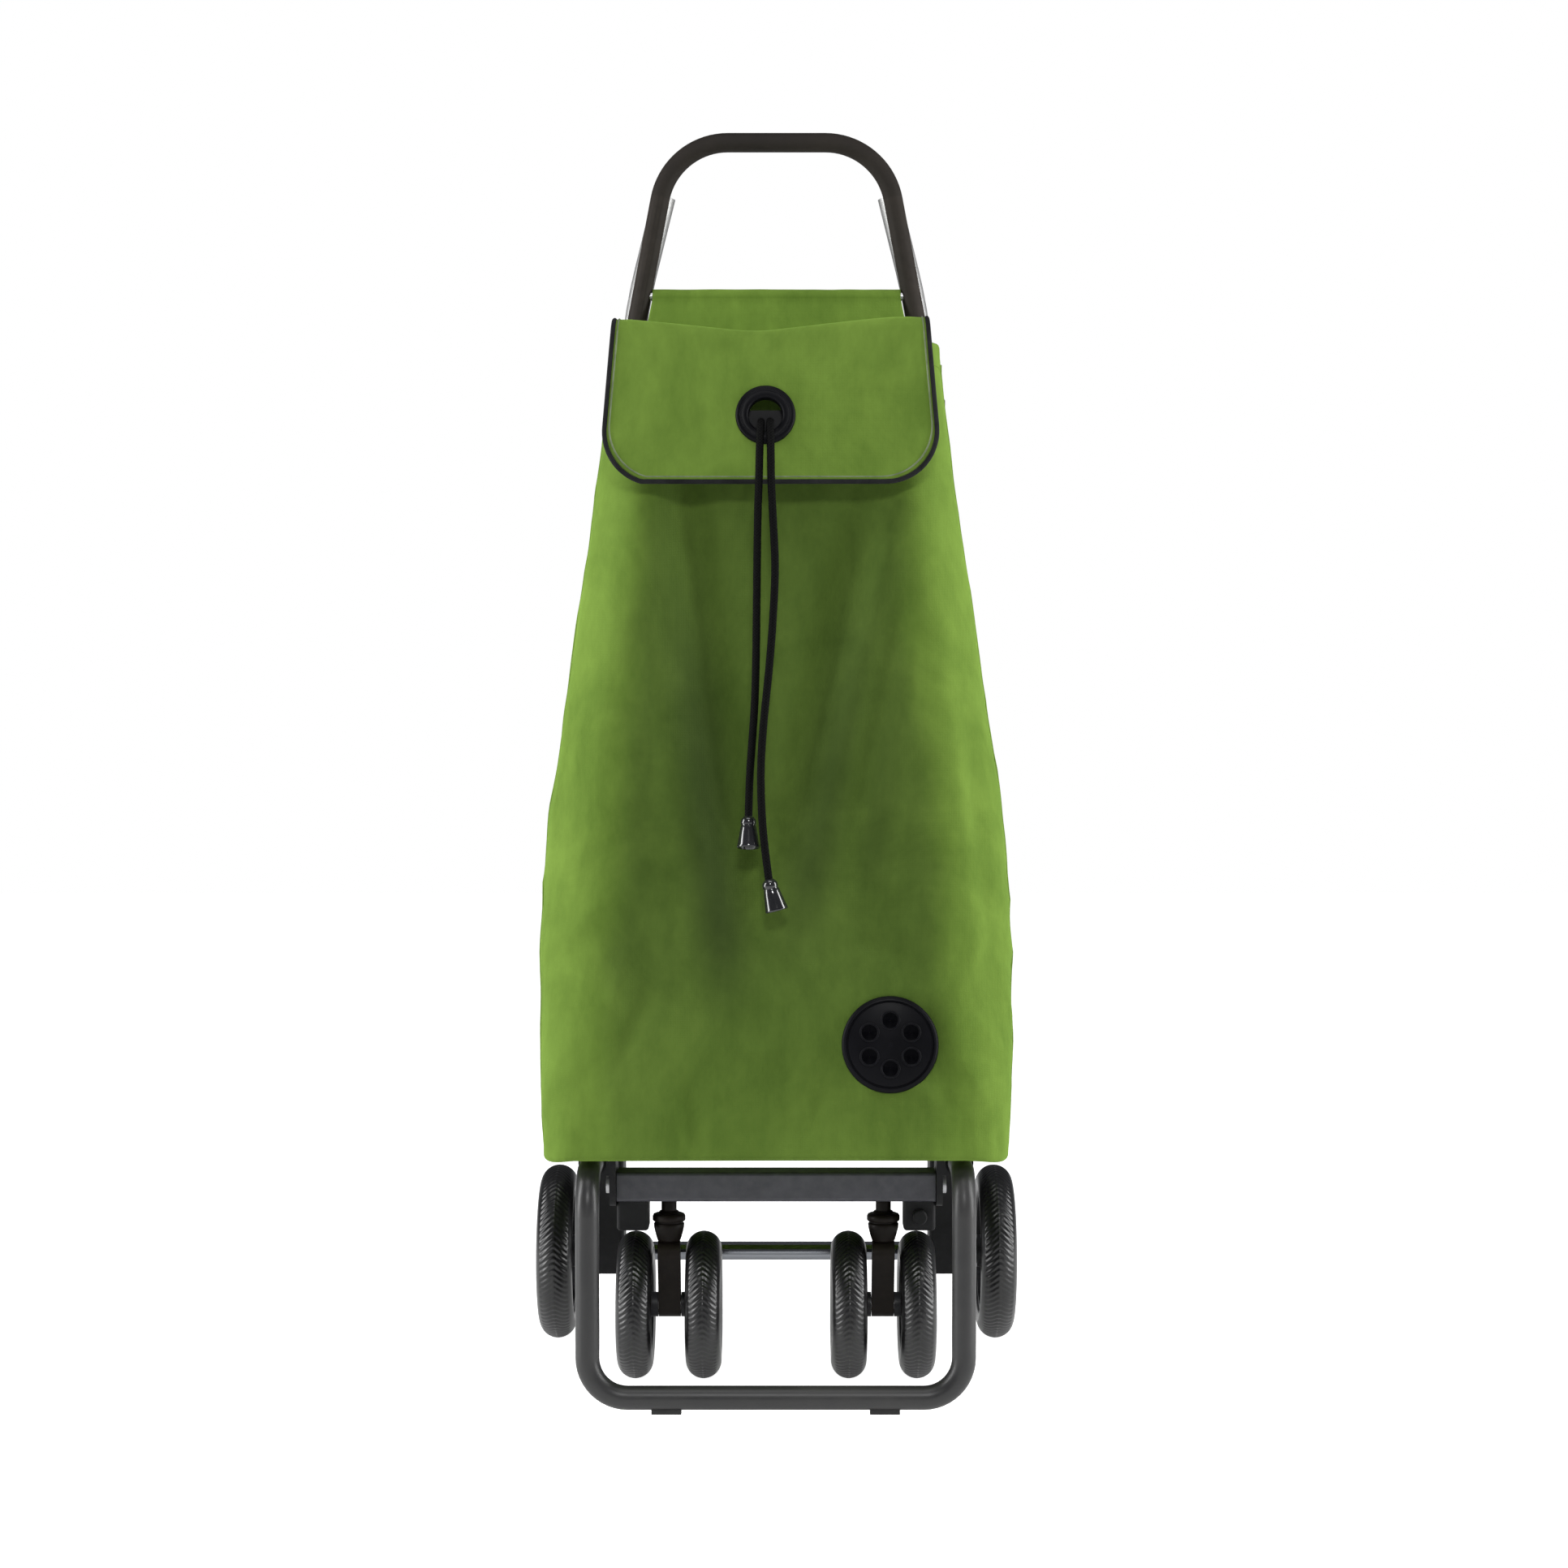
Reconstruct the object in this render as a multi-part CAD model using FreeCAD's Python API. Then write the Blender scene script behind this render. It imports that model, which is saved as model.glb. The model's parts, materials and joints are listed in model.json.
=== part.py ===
import FreeCAD, Part
import math
import os

# Four-wheel shopping trolley: a fabric bag on a wheeled frame. Millimetres, +Z up, the bag's front faces -Y.
# The origin is on the floor, under the middle of the trolley.

V = FreeCAD.Vector
X_AXIS = V(1, 0, 0)
Y_AXIS = V(0, 1, 0)
SIDES = (("left", -1), ("right", 1))

# ---- overall ----
overall_width = 412.0
overall_depth = 406.0
overall_height = 1045.0

# ---- clearances ----
running_gap = 0.05  # radial, shaft in bore
soft_gap = 0.3  # between fabric and what it touches
turning_gap = 0.5  # beside a face that turns

# ---- wheels ----
rear_wheel_d = 150.0
rear_wheel_w = 31.0
caster_wheel_d = 120.0
caster_wheel_w = 29.0
tyre_depth = 22.0
rim_band = 4.0
rim_web = 6.0
spoke_count = 5
spoke_window_deg = 52.0
hub_wall = 6.0
rear_axle_d = 16.0
hub_cap_r = 17.0
hub_cap_t = 3.0
wheel_to_frame = 21.0  # from a rear wheel's inner face to the foot frame
spacer_wall = 3.0

# ---- foot frame: one bent tube ----
foot_tube_d = 18.5
foot_tube_wall = 1.5
foot_bend_r = 31.0
foot_pad_w = 23.0
foot_pad_t = 3.0
foot_pad_x = 84.0
foot_pad_depth = 8.0
foot_clearance = 9.0  # under the pads
rail_end_gap = 1.0  # from a rail's end to the upright

# ---- uprights ----
upright_d = 20.0
upright_wall = 1.5
upright_offset = 2.25  # outwards from the rail at the foot
upright_foot_z = 95.0
upright_knee_z = 878.0
upright_tip_z = 991.0
upright_knee_outset = 4.7
upright_tip_outset = -1.8
brace_d = 14.0
brace_heights = (240.0, 600.0)

# ---- axle brackets ----
bracket_w = 26.0
bracket_front = 32.0  # from the axle
bracket_back = 18.0
bracket_bottom_z = 58.0
bracket_edge_r = 4.0
bracket_bolt_r = 4.0
bracket_bolt_t = 3.0

# ---- handle ----
handle_tube_d = 16.5
handle_tube_wall = 2.0
handle_corner_x = 91.1
handle_corner_r = 59.4
handle_splay_deg = 10.8
handle_foot_z = 780.0
tube_plane_gap = 0.4  # between the handle and the uprights behind it
clamp_heights = (852.0, 806.0)
clamp_h = 20.0
clamp_wall = 4.0
clamp_ear = 10.0  # inwards, under the screw
clamp_skin = 1.5  # outside the tubes
clamp_screw_r = 4.5
clamp_screw_t = 2.5

# ---- bag ----
bag_floor_z = 204.0
bag_mouth_z = 846.0
bag_shape = ((204.0, 180.0), (376.0, 184.0), (609.0, 159.5), (743.0, 140.0), (846.0, 127.0))  # z, half width
bag_front_inset = 6.0  # the bag's front edge behind the foot frame's front
bag_mouth_depth = 205.0
bag_corner_r = 30.0
bag_wall = 3.0
bag_floor_t = 2.7
hem_h = 12.0
hem_t = 6.0
board_t = 5.0
board_inset = 3.0
clamp_to_bag = 5.0
loop_t = 1.6
loop_w = 20.0
loop_y = (-120.0, 60.0)

# ---- hanger ----
hanger_z = 905.0
hanger_rod_d = 8.0
hanger_rod_grip = 2.0  # how far the rod runs past a leg's middle
sleeve_wall = 1.7
sleeve_t = 2.5

# ---- flap ----
flap_t = 3.0
flap_fold_z = 859.5
flap_hinge_z = 862.5
flap_stand_off = 9.5  # from the bag's mouth to the fold
flap_flare_deg = 2.74  # more than the bag's front leans
flap_drop = 135.0
flap_half_rear = 112.0
flap_half_fold = 123.5
flap_half_low = 134.0
flap_corner_r = 44.0
flap_shift = -4.0
piping_d = 3.8
eyelet_x = -8.0
eyelet_drop = 81.8
eyelet_r = 23.5
eyelet_hole_r = 13.2
eyelet_rim_t = 3.5
eyelet_barrel_t = 1.6
eyelet_back_t = 1.5
eyelet_back_r = 20.0

# ---- drawstring ----
cord_d = 6.0
lock_x = -8.0
lock_z = 776.0
lock_size = (30.0, 8.9, 16.0)
bell_len = 23.0
bell_top_r = 6.0
bell_low_r = 9.0
cord_routes = {
    "left": [
        V(-11.5, -132.4, 775), V(-11.5, -143, 774.5), V(-12, -151, 766), V(-12.5, -153.5, 752),
        V(-13, -156, 728), V(-14, -159, 700), V(-14.6, -161, 650), V(-15, -162.5, 600),
        V(-16, -164, 556), V(-18.6, -166, 521), V(-20.5, -169, 493), V(-21, -172, 466),
    ],
    "right": [
        V(-4.5, -132.4, 775.5), V(-4.5, -143.5, 775), V(-4.2, -151.5, 766.5), V(-3.8, -154, 752),
        V(-3.6, -156.5, 727), V(-2.2, -159.5, 700), V(0, -162, 660), V(-2.2, -163.5, 618),
        V(-5, -165, 582), V(-9.5, -167, 540), V(-11.6, -171.5, 508), V(-11.3, -177, 480),
        V(-9.3, -182.5, 449), V(-5, -184.5, 418),
    ],
}
bell_ends = {"left": V(-21, -176.5, 443.5), "right": V(1, -185, 395.5)}

# ---- vent ----
vent_x = 88.0
vent_z = 292.0
vent_r = 37.3
vent_edge_t = 2.0
vent_dome = 5.0
vent_neck_r = 28.0
vent_ring_t = 2.0
vent_ring_r = 36.0
vent_holes = 6
vent_hole_r = 6.5
vent_hole_circle_r = 18.5

# ---- folding caster bar ----
caster_trail = 18.0
caster_ahead = 157.0  # the caster wheels' axis in front of the rear axle
caster_inset = 42.0  # from the bar's end to the stem
bar_size = (30.0, 24.0)  # depth, height
bar_bottom_z = 150.0
bar_edge_r = 3.0
hinge_plate_t = 5.2
hinge_plate_depth = 40.0
hinge_plate_bottom_z = 146.0
hinge_pin_d = 8.0
hinge_pin_in = 10.0
hinge_pin_head_d = 14.0
hinge_pin_head_t = 3.5
block_size = (26.0, 26.0, 24.0)
knob_r = 6.0
knob_t = 7.0
knob_stem_r = 2.5
knob_stem_len = 16.0
knob_z = 138.0

# ---- casters ----
stem_d = 12.4
stem_top_z = 168.0
collar_r = 13.5
collar_z = (116.0, 141.0)
yoke_w = 18.0
yoke_top_r = 11.0
yoke_low_r = 10.0
yoke_top_z = 105.0
caster_wheel_spread = 28.0
caster_axle_d = 8.0
caster_nut_r = 7.0
caster_nut_t = 2.6
caster_hub_out = 9.5  # the hub's outer end from the wheel's middle

# ---- places worked out from the sizes above ----
axle_y = overall_depth / 2 - rear_wheel_d / 2
axle_z = rear_wheel_d / 2
rear_wheel_x = overall_width / 2 - rear_wheel_w / 2
rail_x = rear_wheel_x - rear_wheel_w / 2 - wheel_to_frame - foot_tube_d / 2
rail_z = bag_floor_z - foot_tube_d / 2 - soft_gap - loop_t - soft_gap
rail_back_y = axle_y - upright_d / 2 - rail_end_gap
foot_y = -overall_depth / 2 + foot_tube_d / 2
foot_z = foot_clearance + foot_pad_t + foot_tube_d / 2
bracket_x = rail_x + 0.75
bracket_top_z = bag_floor_z - 4
handle_y = axle_y - upright_d / 2 - tube_plane_gap - handle_tube_d / 2
handle_z = overall_height - handle_tube_d / 2
clamp_y = (handle_y - handle_tube_d / 2 - clamp_wall, axle_y + upright_d / 2 + clamp_wall)
bag_back_y = clamp_y[0] - clamp_to_bag
bag_front_y = -overall_depth / 2 + bag_front_inset
mouth_front_y = bag_back_y - bag_mouth_depth
bag_lean = (mouth_front_y - bag_front_y) / (bag_mouth_z - bag_floor_z)
bag_lean_deg = math.degrees(math.atan(bag_lean))
flap_lean_deg = bag_lean_deg + flap_flare_deg
flap_fold_y = mouth_front_y - flap_stand_off
hinge_plate_out = rail_x - foot_tube_d / 2 - soft_gap
bar_half = hinge_plate_out - hinge_plate_t - turning_gap
stem_x = bar_half - caster_inset
caster_axle_y = axle_y - caster_ahead
stem_y = caster_axle_y - caster_trail
caster_axle_z = caster_wheel_d / 2
pivot_z = bar_bottom_z + bar_size[1] / 2
block_x = bar_half - block_size[0] / 2


def save(name, *solids):
    shape = solids[0] if len(solids) == 1 else Part.makeCompound(list(solids))
    shape.exportStep("parts/" + name + ".step")


def box(low, high):
    return Part.makeBox(high[0] - low[0], high[1] - low[1], high[2] - low[2], V(*low))


def rod(radius, start, end):
    run = end - start
    return Part.makeCylinder(radius, run.Length, start, run)


def prism(points, push):
    return Part.Face(Part.makePolygon(points + points[:1])).extrude(push)


def bend_radius(before, corner, after):
    """The largest arc at a corner that leaves a tenth of the shorter run straight."""
    turn = (corner - before).getAngle(after - corner)
    return 0.45 * min((corner - before).Length, (after - corner).Length) / math.tan(turn / 2)


def bent_path(points, radii):
    """Straight runs joined by tangent arcs, one arc at each inner point."""
    edges = []
    start = points[0]
    for before, corner, after, radius in zip(points, points[1:], points[2:], radii):
        into = (corner - before).normalize()
        out = (after - corner).normalize()
        turn = into.getAngle(out)
        reach = radius * math.tan(turn / 2)
        first = corner - into * reach
        last = corner + out * reach
        inward = (out - into).normalize()
        middle = corner + inward * (radius / math.cos(turn / 2) - radius)
        edges.append(Part.LineSegment(start, first).toShape())
        edges.append(Part.Arc(first, middle, last).toShape())
        start = last
    edges.append(Part.LineSegment(start, points[-1]).toShape())
    return Part.Wire(edges)


def sweep(path, radius, start, towards):
    ring = Part.Wire([Part.makeCircle(radius, start, towards - start)])
    return path.makePipeShell([ring], True, False)


def tube(points, radii, radius, wall=0.0):
    path = bent_path(points, radii)
    solid = sweep(path, radius, points[0], points[1])
    if wall:
        solid = solid.cut(sweep(path, radius - wall, points[0], points[1]))
    return solid


def spin(profile, axis_at, axis):
    """Turns a closed outline of points about an axis."""
    return Part.Face(Part.makePolygon(profile + profile[:1])).revolve(axis_at, axis, 360)


# ---- wheels ----
def tyre(diameter, width, centre):
    outer = diameter / 2
    inner = outer - tyre_depth
    half = width / 2
    shoulder = outer - 0.9 * half
    low_left = centre + V(-0.86 * half, 0, inner)
    high_left = centre + V(-half, 0, shoulder)
    high_right = centre + V(half, 0, shoulder)
    low_right = centre + V(0.86 * half, 0, inner)
    edges = [
        Part.LineSegment(low_left, high_left).toShape(),
        Part.Arc(high_left, centre + V(0, 0, outer), high_right).toShape(),
        Part.LineSegment(high_right, low_right).toShape(),
        Part.LineSegment(low_right, low_left).toShape(),
    ]
    return Part.Face(Part.Wire(edges)).revolve(centre, X_AXIS, 360)


def rim(diameter, width, centre, bore_r, hub_from, hub_to):
    """A spoked rim: band, web with windows, and a hub from hub_from to hub_to along X."""
    outer = diameter / 2 - tyre_depth
    band_in = outer - rim_band
    hub_r = bore_r + hub_wall
    half = 0.8 * width / 2
    band = [V(-half, 0, band_in), V(half, 0, band_in), V(half, 0, outer), V(-half, 0, outer)]
    web = [V(-rim_web / 2, 0, hub_r - 1), V(rim_web / 2, 0, hub_r - 1), V(rim_web / 2, 0, band_in + 1),
           V(-rim_web / 2, 0, band_in + 1)]
    hub = [V(hub_from, 0, bore_r), V(hub_to, 0, bore_r), V(hub_to, 0, hub_r), V(hub_from, 0, hub_r)]
    solid = spin([centre + p for p in band], centre, X_AXIS)
    for ring in (web, hub):
        solid = solid.fuse(spin([centre + p for p in ring], centre, X_AXIS))
    window = [V(-rim_web, 0, hub_r + 2), V(rim_web, 0, hub_r + 2), V(rim_web, 0, band_in - 2),
              V(-rim_web, 0, band_in - 2)]
    face = Part.Face(Part.makePolygon([centre + p for p in window + window[:1]]))
    for n in range(spoke_count):
        cut = face.revolve(centre, X_AXIS, spoke_window_deg)
        cut.rotate(centre, X_AXIS, 360 * n / spoke_count)
        solid = solid.cut(cut)
    return solid


def rear_wheel(side, s):
    centre = V(s * rear_wheel_x, axle_y, axle_z)
    bore_r = rear_axle_d / 2 + running_gap
    half = rear_wheel_w / 2
    ends = sorted((-s * half, s * (half - hub_cap_t)))
    save(side + "_rear_tyre", tyre(rear_wheel_d, rear_wheel_w, centre))
    save(side + "_rear_rim", rim(rear_wheel_d, rear_wheel_w, centre, bore_r, *ends))
    cap_face = centre + V(s * (half - hub_cap_t), 0, 0)
    cap = rod(hub_cap_r, cap_face, cap_face + V(s * hub_cap_t, 0, 0))
    middle = abs(cap_face.x) + hub_cap_t / 2
    outer_edge = [e for e in cap.Edges if abs(e.CenterOfMass.x) > middle and e.Closed]
    save(side + "_hub_cap", cap.makeFillet(hub_cap_t / 2, outer_edge[:1]))


def rear_axle():
    end = rear_wheel_x + rear_wheel_w / 2 - hub_cap_t - turning_gap
    save("rear_axle", rod(rear_axle_d / 2, V(-end, axle_y, axle_z), V(end, axle_y, axle_z)))
    spacers = []
    inner = bracket_x + bracket_w / 2
    outer = rear_wheel_x - rear_wheel_w / 2 - soft_gap
    for _, s in SIDES:
        start = V(s * inner, axle_y, axle_z)
        end = V(s * outer, axle_y, axle_z)
        ring = rod(rear_axle_d / 2 + running_gap + spacer_wall, start, end)
        spacers.append(ring.cut(rod(rear_axle_d / 2 + running_gap, start, end)))
    save("axle_spacers", *spacers)


# ---- frame ----
def foot_frame():
    points = []
    for s in (-1, 1):
        leg = [V(s * rail_x, y, z) for y, z in ((rail_back_y, rail_z), (foot_y, rail_z), (foot_y, foot_z))]
        points += leg if s < 0 else leg[::-1]
    save("foot_frame", tube(points, [foot_bend_r] * 4, foot_tube_d / 2, foot_tube_wall))
    pads = []
    for s in (-1, 1):
        low = (s * foot_pad_x - foot_pad_w / 2, foot_y - foot_pad_depth / 2, foot_clearance)
        top_z = foot_clearance + 2.2 * foot_pad_t
        high = (s * foot_pad_x + foot_pad_w / 2, foot_y + foot_pad_depth / 2, top_z)
        bar_start = V(low[0] - 1, foot_y, foot_z)
        bar_end = V(high[0] + 1, foot_y, foot_z)
        bar = rod(foot_tube_d / 2 + running_gap, bar_start, bar_end)
        pads.append(box(low, high).cut(bar))
    save("foot_pads", *pads)


def leg_x(z):
    """The middle of a handle leg at a height below its corner."""
    return handle_corner_x + (handle_z - z) * math.tan(math.radians(handle_splay_deg))


def upright_points(s):
    return [
        V(s * (rail_x + upright_offset), axle_y, upright_foot_z),
        V(s * (leg_x(upright_knee_z) + upright_knee_outset), axle_y, upright_knee_z),
        V(s * (leg_x(upright_tip_z) + upright_tip_outset), axle_y, upright_tip_z),
    ]


def upright(s, radius, wall=0.0):
    points = upright_points(s)
    return tube(points, [bend_radius(*points)], radius, wall)


def upright_x(z):
    foot, knee, _ = upright_points(1)
    return foot.x + (knee.x - foot.x) * (z - foot.z) / (knee.z - foot.z)


def uprights():
    for side, s in SIDES:
        save(side + "_upright", upright(s, upright_d / 2, upright_wall))
    plugs = []
    for _, s in SIDES:
        _, knee, tip = upright_points(s)
        up = (tip - knee).normalize()
        head = rod(upright_d / 2, tip, tip + up * 2)
        plugs.append(head.fuse(rod(upright_d / 2 - upright_wall - running_gap, tip - up * 12, tip)))
    save("upright_plugs", *plugs)
    braces = []
    for z in brace_heights:
        end = upright_x(z + brace_d / 2) - upright_d / 2 - soft_gap
        braces.append(rod(brace_d / 2, V(-end, axle_y, z), V(end, axle_y, z)))
    save("back_braces", *braces)


def axle_brackets():
    for side, s in SIDES:
        low = (s * bracket_x - bracket_w / 2, axle_y - bracket_front, bracket_bottom_z)
        high = (s * bracket_x + bracket_w / 2, axle_y + bracket_back, bracket_top_z)
        body = box(low, high)
        # the front is cut back below the rail, towards the axle
        slope = [V(low[0], low[1], low[2]), V(low[0], low[1], rail_z - 22), V(low[0], axle_y - 18, low[2])]
        body = body.cut(prism(slope, V(bracket_w, 0, 0)))
        long_edges = [e for e in body.Edges if abs(e.tangentAt(e.FirstParameter).z) > 0.99]
        body = body.makeFillet(bracket_edge_r, long_edges)
        far = s * (bracket_x + bracket_w)
        near = s * (bracket_x - bracket_w)
        body = body.cut(rod(rear_axle_d / 2 + running_gap, V(near, axle_y, axle_z), V(far, axle_y, axle_z)))
        rail_start = V(s * rail_x, axle_y - bracket_front - 5, rail_z)
        rail_end = V(s * rail_x, rail_back_y + running_gap, rail_z)
        body = body.cut(rod(foot_tube_d / 2 + running_gap, rail_start, rail_end))
        foot, knee, _ = upright_points(s)
        body = body.cut(rod(upright_d / 2 + running_gap, foot, knee))
        save(side + "_axle_bracket", body)
    bolts = []
    for _, s in SIDES:
        for y, z in ((axle_y - bracket_front + 12, rail_z - 16), (axle_y, 120), (axle_y, 165)):
            face = V(s * (bracket_x + bracket_w / 2), y, z)
            bolts.append(rod(bracket_bolt_r, face, face + V(s * bracket_bolt_t, 0, 0)))
    save("bracket_bolts", *bolts)


# ---- handle ----
def handle_points():
    foot = V(leg_x(handle_foot_z), handle_y, handle_foot_z)
    corner = V(handle_corner_x, handle_y, handle_z)
    return [V(-foot.x, foot.y, foot.z), V(-corner.x, corner.y, corner.z), corner, foot]


def handle():
    loop = tube(handle_points(), [handle_corner_r] * 2, handle_tube_d / 2, handle_tube_wall)
    reach = leg_x(hanger_z) + hanger_rod_grip
    rod_ends = (V(-reach, handle_y, hanger_z), V(reach, handle_y, hanger_z))
    save("handle_loop", loop.cut(rod(hanger_rod_d / 2 + running_gap, *rod_ends)))
    save("hanger_rod", rod(hanger_rod_d / 2, *rod_ends))
    clamps = []
    screws = []
    for _, s in SIDES:
        foot = V(s * leg_x(handle_foot_z), handle_y, handle_foot_z)
        corner = V(s * handle_corner_x, handle_y, handle_z)
        leg = rod(handle_tube_d / 2 + running_gap, foot, corner)
        post = upright(s, upright_d / 2 + running_gap)
        for z in clamp_heights:
            inner = min(leg_x(z) - handle_tube_d / 2, upright_x(z) - upright_d / 2) - clamp_ear
            outer = max(leg_x(z) + handle_tube_d / 2, upright_x(z) + upright_d / 2) + clamp_skin
            xs = sorted((s * inner, s * outer))
            body = box((xs[0], clamp_y[0], z - clamp_h / 2), (xs[1], clamp_y[1], z + clamp_h / 2))
            body = body.makeFillet(clamp_wall / 2, body.Edges)
            clamps.append(body.cut(leg).cut(post))
            head = V(s * (inner + clamp_ear / 2), clamp_y[1], z)
            screws.append(rod(clamp_screw_r, head, head + V(0, clamp_screw_t, 0)))
    save("handle_clamps", *clamps)
    save("clamp_screws", *screws)


# ---- bag ----
def bag_half(z):
    for (z0, w0), (z1, w1) in zip(bag_shape, bag_shape[1:]):
        if z <= z1:
            return w0 + (w1 - w0) * (z - z0) / (z1 - z0)
    return bag_shape[-1][1]


def front_y(z):
    return bag_front_y + (z - bag_floor_z) * bag_lean


def bag_ring(z, inset):
    """A rounded rectangle: the bag's outline at a height, moved in by inset."""
    half = bag_half(z) - inset
    front = front_y(z) + inset
    back = bag_back_y - inset
    r = bag_corner_r - inset
    k = r * math.sqrt(0.5)
    edges = []
    corners = [(half, front, 1, -1), (half, back, 1, 1), (-half, back, -1, 1), (-half, front, -1, -1)]
    starts = []
    for cx, cy, sx, sy in corners:
        centre = V(cx - sx * r, cy - sy * r, z)
        a = centre + V(0, sy * r, 0)
        b = centre + V(sx * r, 0, 0)
        if sx * sy > 0:
            a, b = b, a
        starts.append((a, centre + V(sx * k, sy * k, 0), b))
    for (a, mid, b), (after, _, _) in zip(starts, starts[1:] + starts[:1]):
        edges.append(Part.Arc(a, mid, b).toShape())
        edges.append(Part.LineSegment(b, after).toShape())
    return Part.Wire(edges)


def levels(low, high):
    return [low] + [z for z, _ in bag_shape if low < z < high] + [high]


def bag_shell(low, high, outer, wall):
    zs = levels(low, high)
    skin = Part.makeLoft([bag_ring(z, outer) for z in zs], True, True)
    hollow = Part.makeLoft([bag_ring(z, outer + wall) for z in zs], True, True)
    return skin.cut(hollow)


def corner_wedge(low, high, facing, shift):
    """The region in front of (facing -1) or behind (facing 1) the bag's corner diagonals."""
    deep = bag_corner_r * 1.5
    rings = []
    for z in levels(low, high):
        half = bag_half(z)
        face = front_y(z) if facing < 0 else bag_back_y
        outer_y = face + facing * deep + shift * -facing
        inner_y = face - facing * deep + shift * -facing
        ring = [V(-half - deep, outer_y, z), V(half + deep, outer_y, z), V(half - deep, inner_y, z),
                V(-half + deep, inner_y, z)]
        rings.append(Part.makePolygon(ring + ring[:1]))
    return Part.makeLoft(rings, True, True)


def on_plane(shape, lean_deg, origin):
    """Tips a piece drawn in the XZ plane, its outer side towards -Y, onto a leaning face."""
    shape.rotate(V(0, 0, 0), X_AXIS, -lean_deg)
    shape.translate(origin)
    return shape


def vent_place():
    return V(vent_x, front_y(vent_z), vent_z)


def bag():
    low = bag_floor_z + bag_floor_t + soft_gap
    high = bag_mouth_z - hem_h - soft_gap
    shell = bag_shell(low, high, 0, bag_wall)
    front = corner_wedge(low, high, -1, 0)
    back = corner_wedge(low, high, 1, 0)
    hole = rod(vent_neck_r + soft_gap, V(0, -bag_wall * 3, 0), V(0, bag_wall * 3, 0))
    save("front_panel", shell.common(front).cut(on_plane(hole, bag_lean_deg, vent_place())))
    save("back_panel", shell.common(back))
    seam = soft_gap * math.sqrt(2)
    sides = shell.cut(corner_wedge(low, high, -1, seam)).cut(corner_wedge(low, high, 1, seam))
    for solid in sides.Solids:
        side = "left" if solid.CenterOfMass.x < 0 else "right"
        save(side + "_gusset", solid)
    floor = Part.Face(bag_ring(bag_floor_z, 0)).extrude(V(0, 0, bag_floor_t))
    save("bag_floor", floor)
    board = Part.Face(bag_ring(low, bag_wall + board_inset)).extrude(V(0, 0, board_t))
    save("base_board", board)
    hem_low = bag_mouth_z - hem_h
    save("mouth_hem", bag_shell(hem_low, bag_mouth_z, 0, hem_t))
    loops = []
    for _, s in SIDES:
        for y in loop_y:
            start = V(s * rail_x, y - loop_w / 2, rail_z)
            end = V(s * rail_x, y + loop_w / 2, rail_z)
            inner = foot_tube_d / 2 + soft_gap
            loops.append(rod(inner + loop_t, start, end).cut(rod(inner, start, end)))
    save("rail_loops", *loops)


def hanger_sleeve():
    """A tunnel round the rod, with a tail that carries the bag's back."""
    half = leg_x(hanger_z + hanger_rod_d) - handle_tube_d / 2 - 2 * soft_gap
    inner = hanger_rod_d / 2 + soft_gap
    outer = inner + sleeve_wall
    start = V(-half, handle_y, hanger_z)
    end = V(half, handle_y, hanger_z)
    low_z = bag_mouth_z + soft_gap
    tail = [
        V(-half, handle_y - outer, hanger_z),
        V(-half, handle_y - outer + sleeve_t, hanger_z),
        V(-half, bag_back_y, low_z),
        V(-half, bag_back_y - sleeve_t, low_z),
    ]
    body = rod(outer, start, end).fuse(prism(tail, V(2 * half, 0, 0)))
    save("hanger_sleeve", body.cut(rod(inner, start, end)))


def vent():
    """A domed disc with a ring of holes, its neck through the front panel, and a ring behind."""
    rise = vent_dome
    edge = [V(0, -soft_gap, 0), V(0, -soft_gap, vent_r), V(0, -soft_gap - vent_edge_t, vent_r)]
    steps = 8
    for n in range(1, steps + 1):
        reach = vent_r * (1 - n / steps)
        height = vent_edge_t + rise * (1 - (reach / vent_r) ** 2)
        edge.append(V(0, -soft_gap - height, reach))
    disc = spin(edge, V(0, 0, 0), Y_AXIS)
    inside = bag_wall + soft_gap + vent_ring_t
    disc = disc.fuse(rod(vent_neck_r, V(0, -soft_gap, 0), V(0, inside, 0)))
    for n in range(vent_holes):
        turn = math.radians(360 * (n + 0.5) / vent_holes)
        at = V(math.cos(turn), 0, math.sin(turn)) * vent_hole_circle_r
        disc = disc.cut(rod(vent_hole_r, at - Y_AXIS * 3 * rise, at + Y_AXIS * 2 * inside))
    ring_front = V(0, bag_wall + soft_gap, 0)
    ring = rod(vent_ring_r, ring_front, ring_front + V(0, vent_ring_t, 0))
    ring = ring.cut(rod(vent_neck_r + running_gap, V(0, 0, 0), V(0, 2 * inside, 0)))
    save("vent_disc", on_plane(disc, bag_lean_deg, vent_place()))
    save("vent_ring", on_plane(ring, bag_lean_deg, vent_place()))


# ---- flap ----
def flap_edge(inset):
    """The skirt's side and bottom line, from the fold round to the fold, moved in by inset."""
    top = flap_half_fold - inset
    low = flap_half_low - inset
    foot = -(flap_drop - inset)
    start = -2.0
    return [V(flap_shift - top, 0, start), V(flap_shift - low, 0, foot), V(flap_shift + low, 0, foot),
            V(flap_shift + top, 0, start)]


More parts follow.
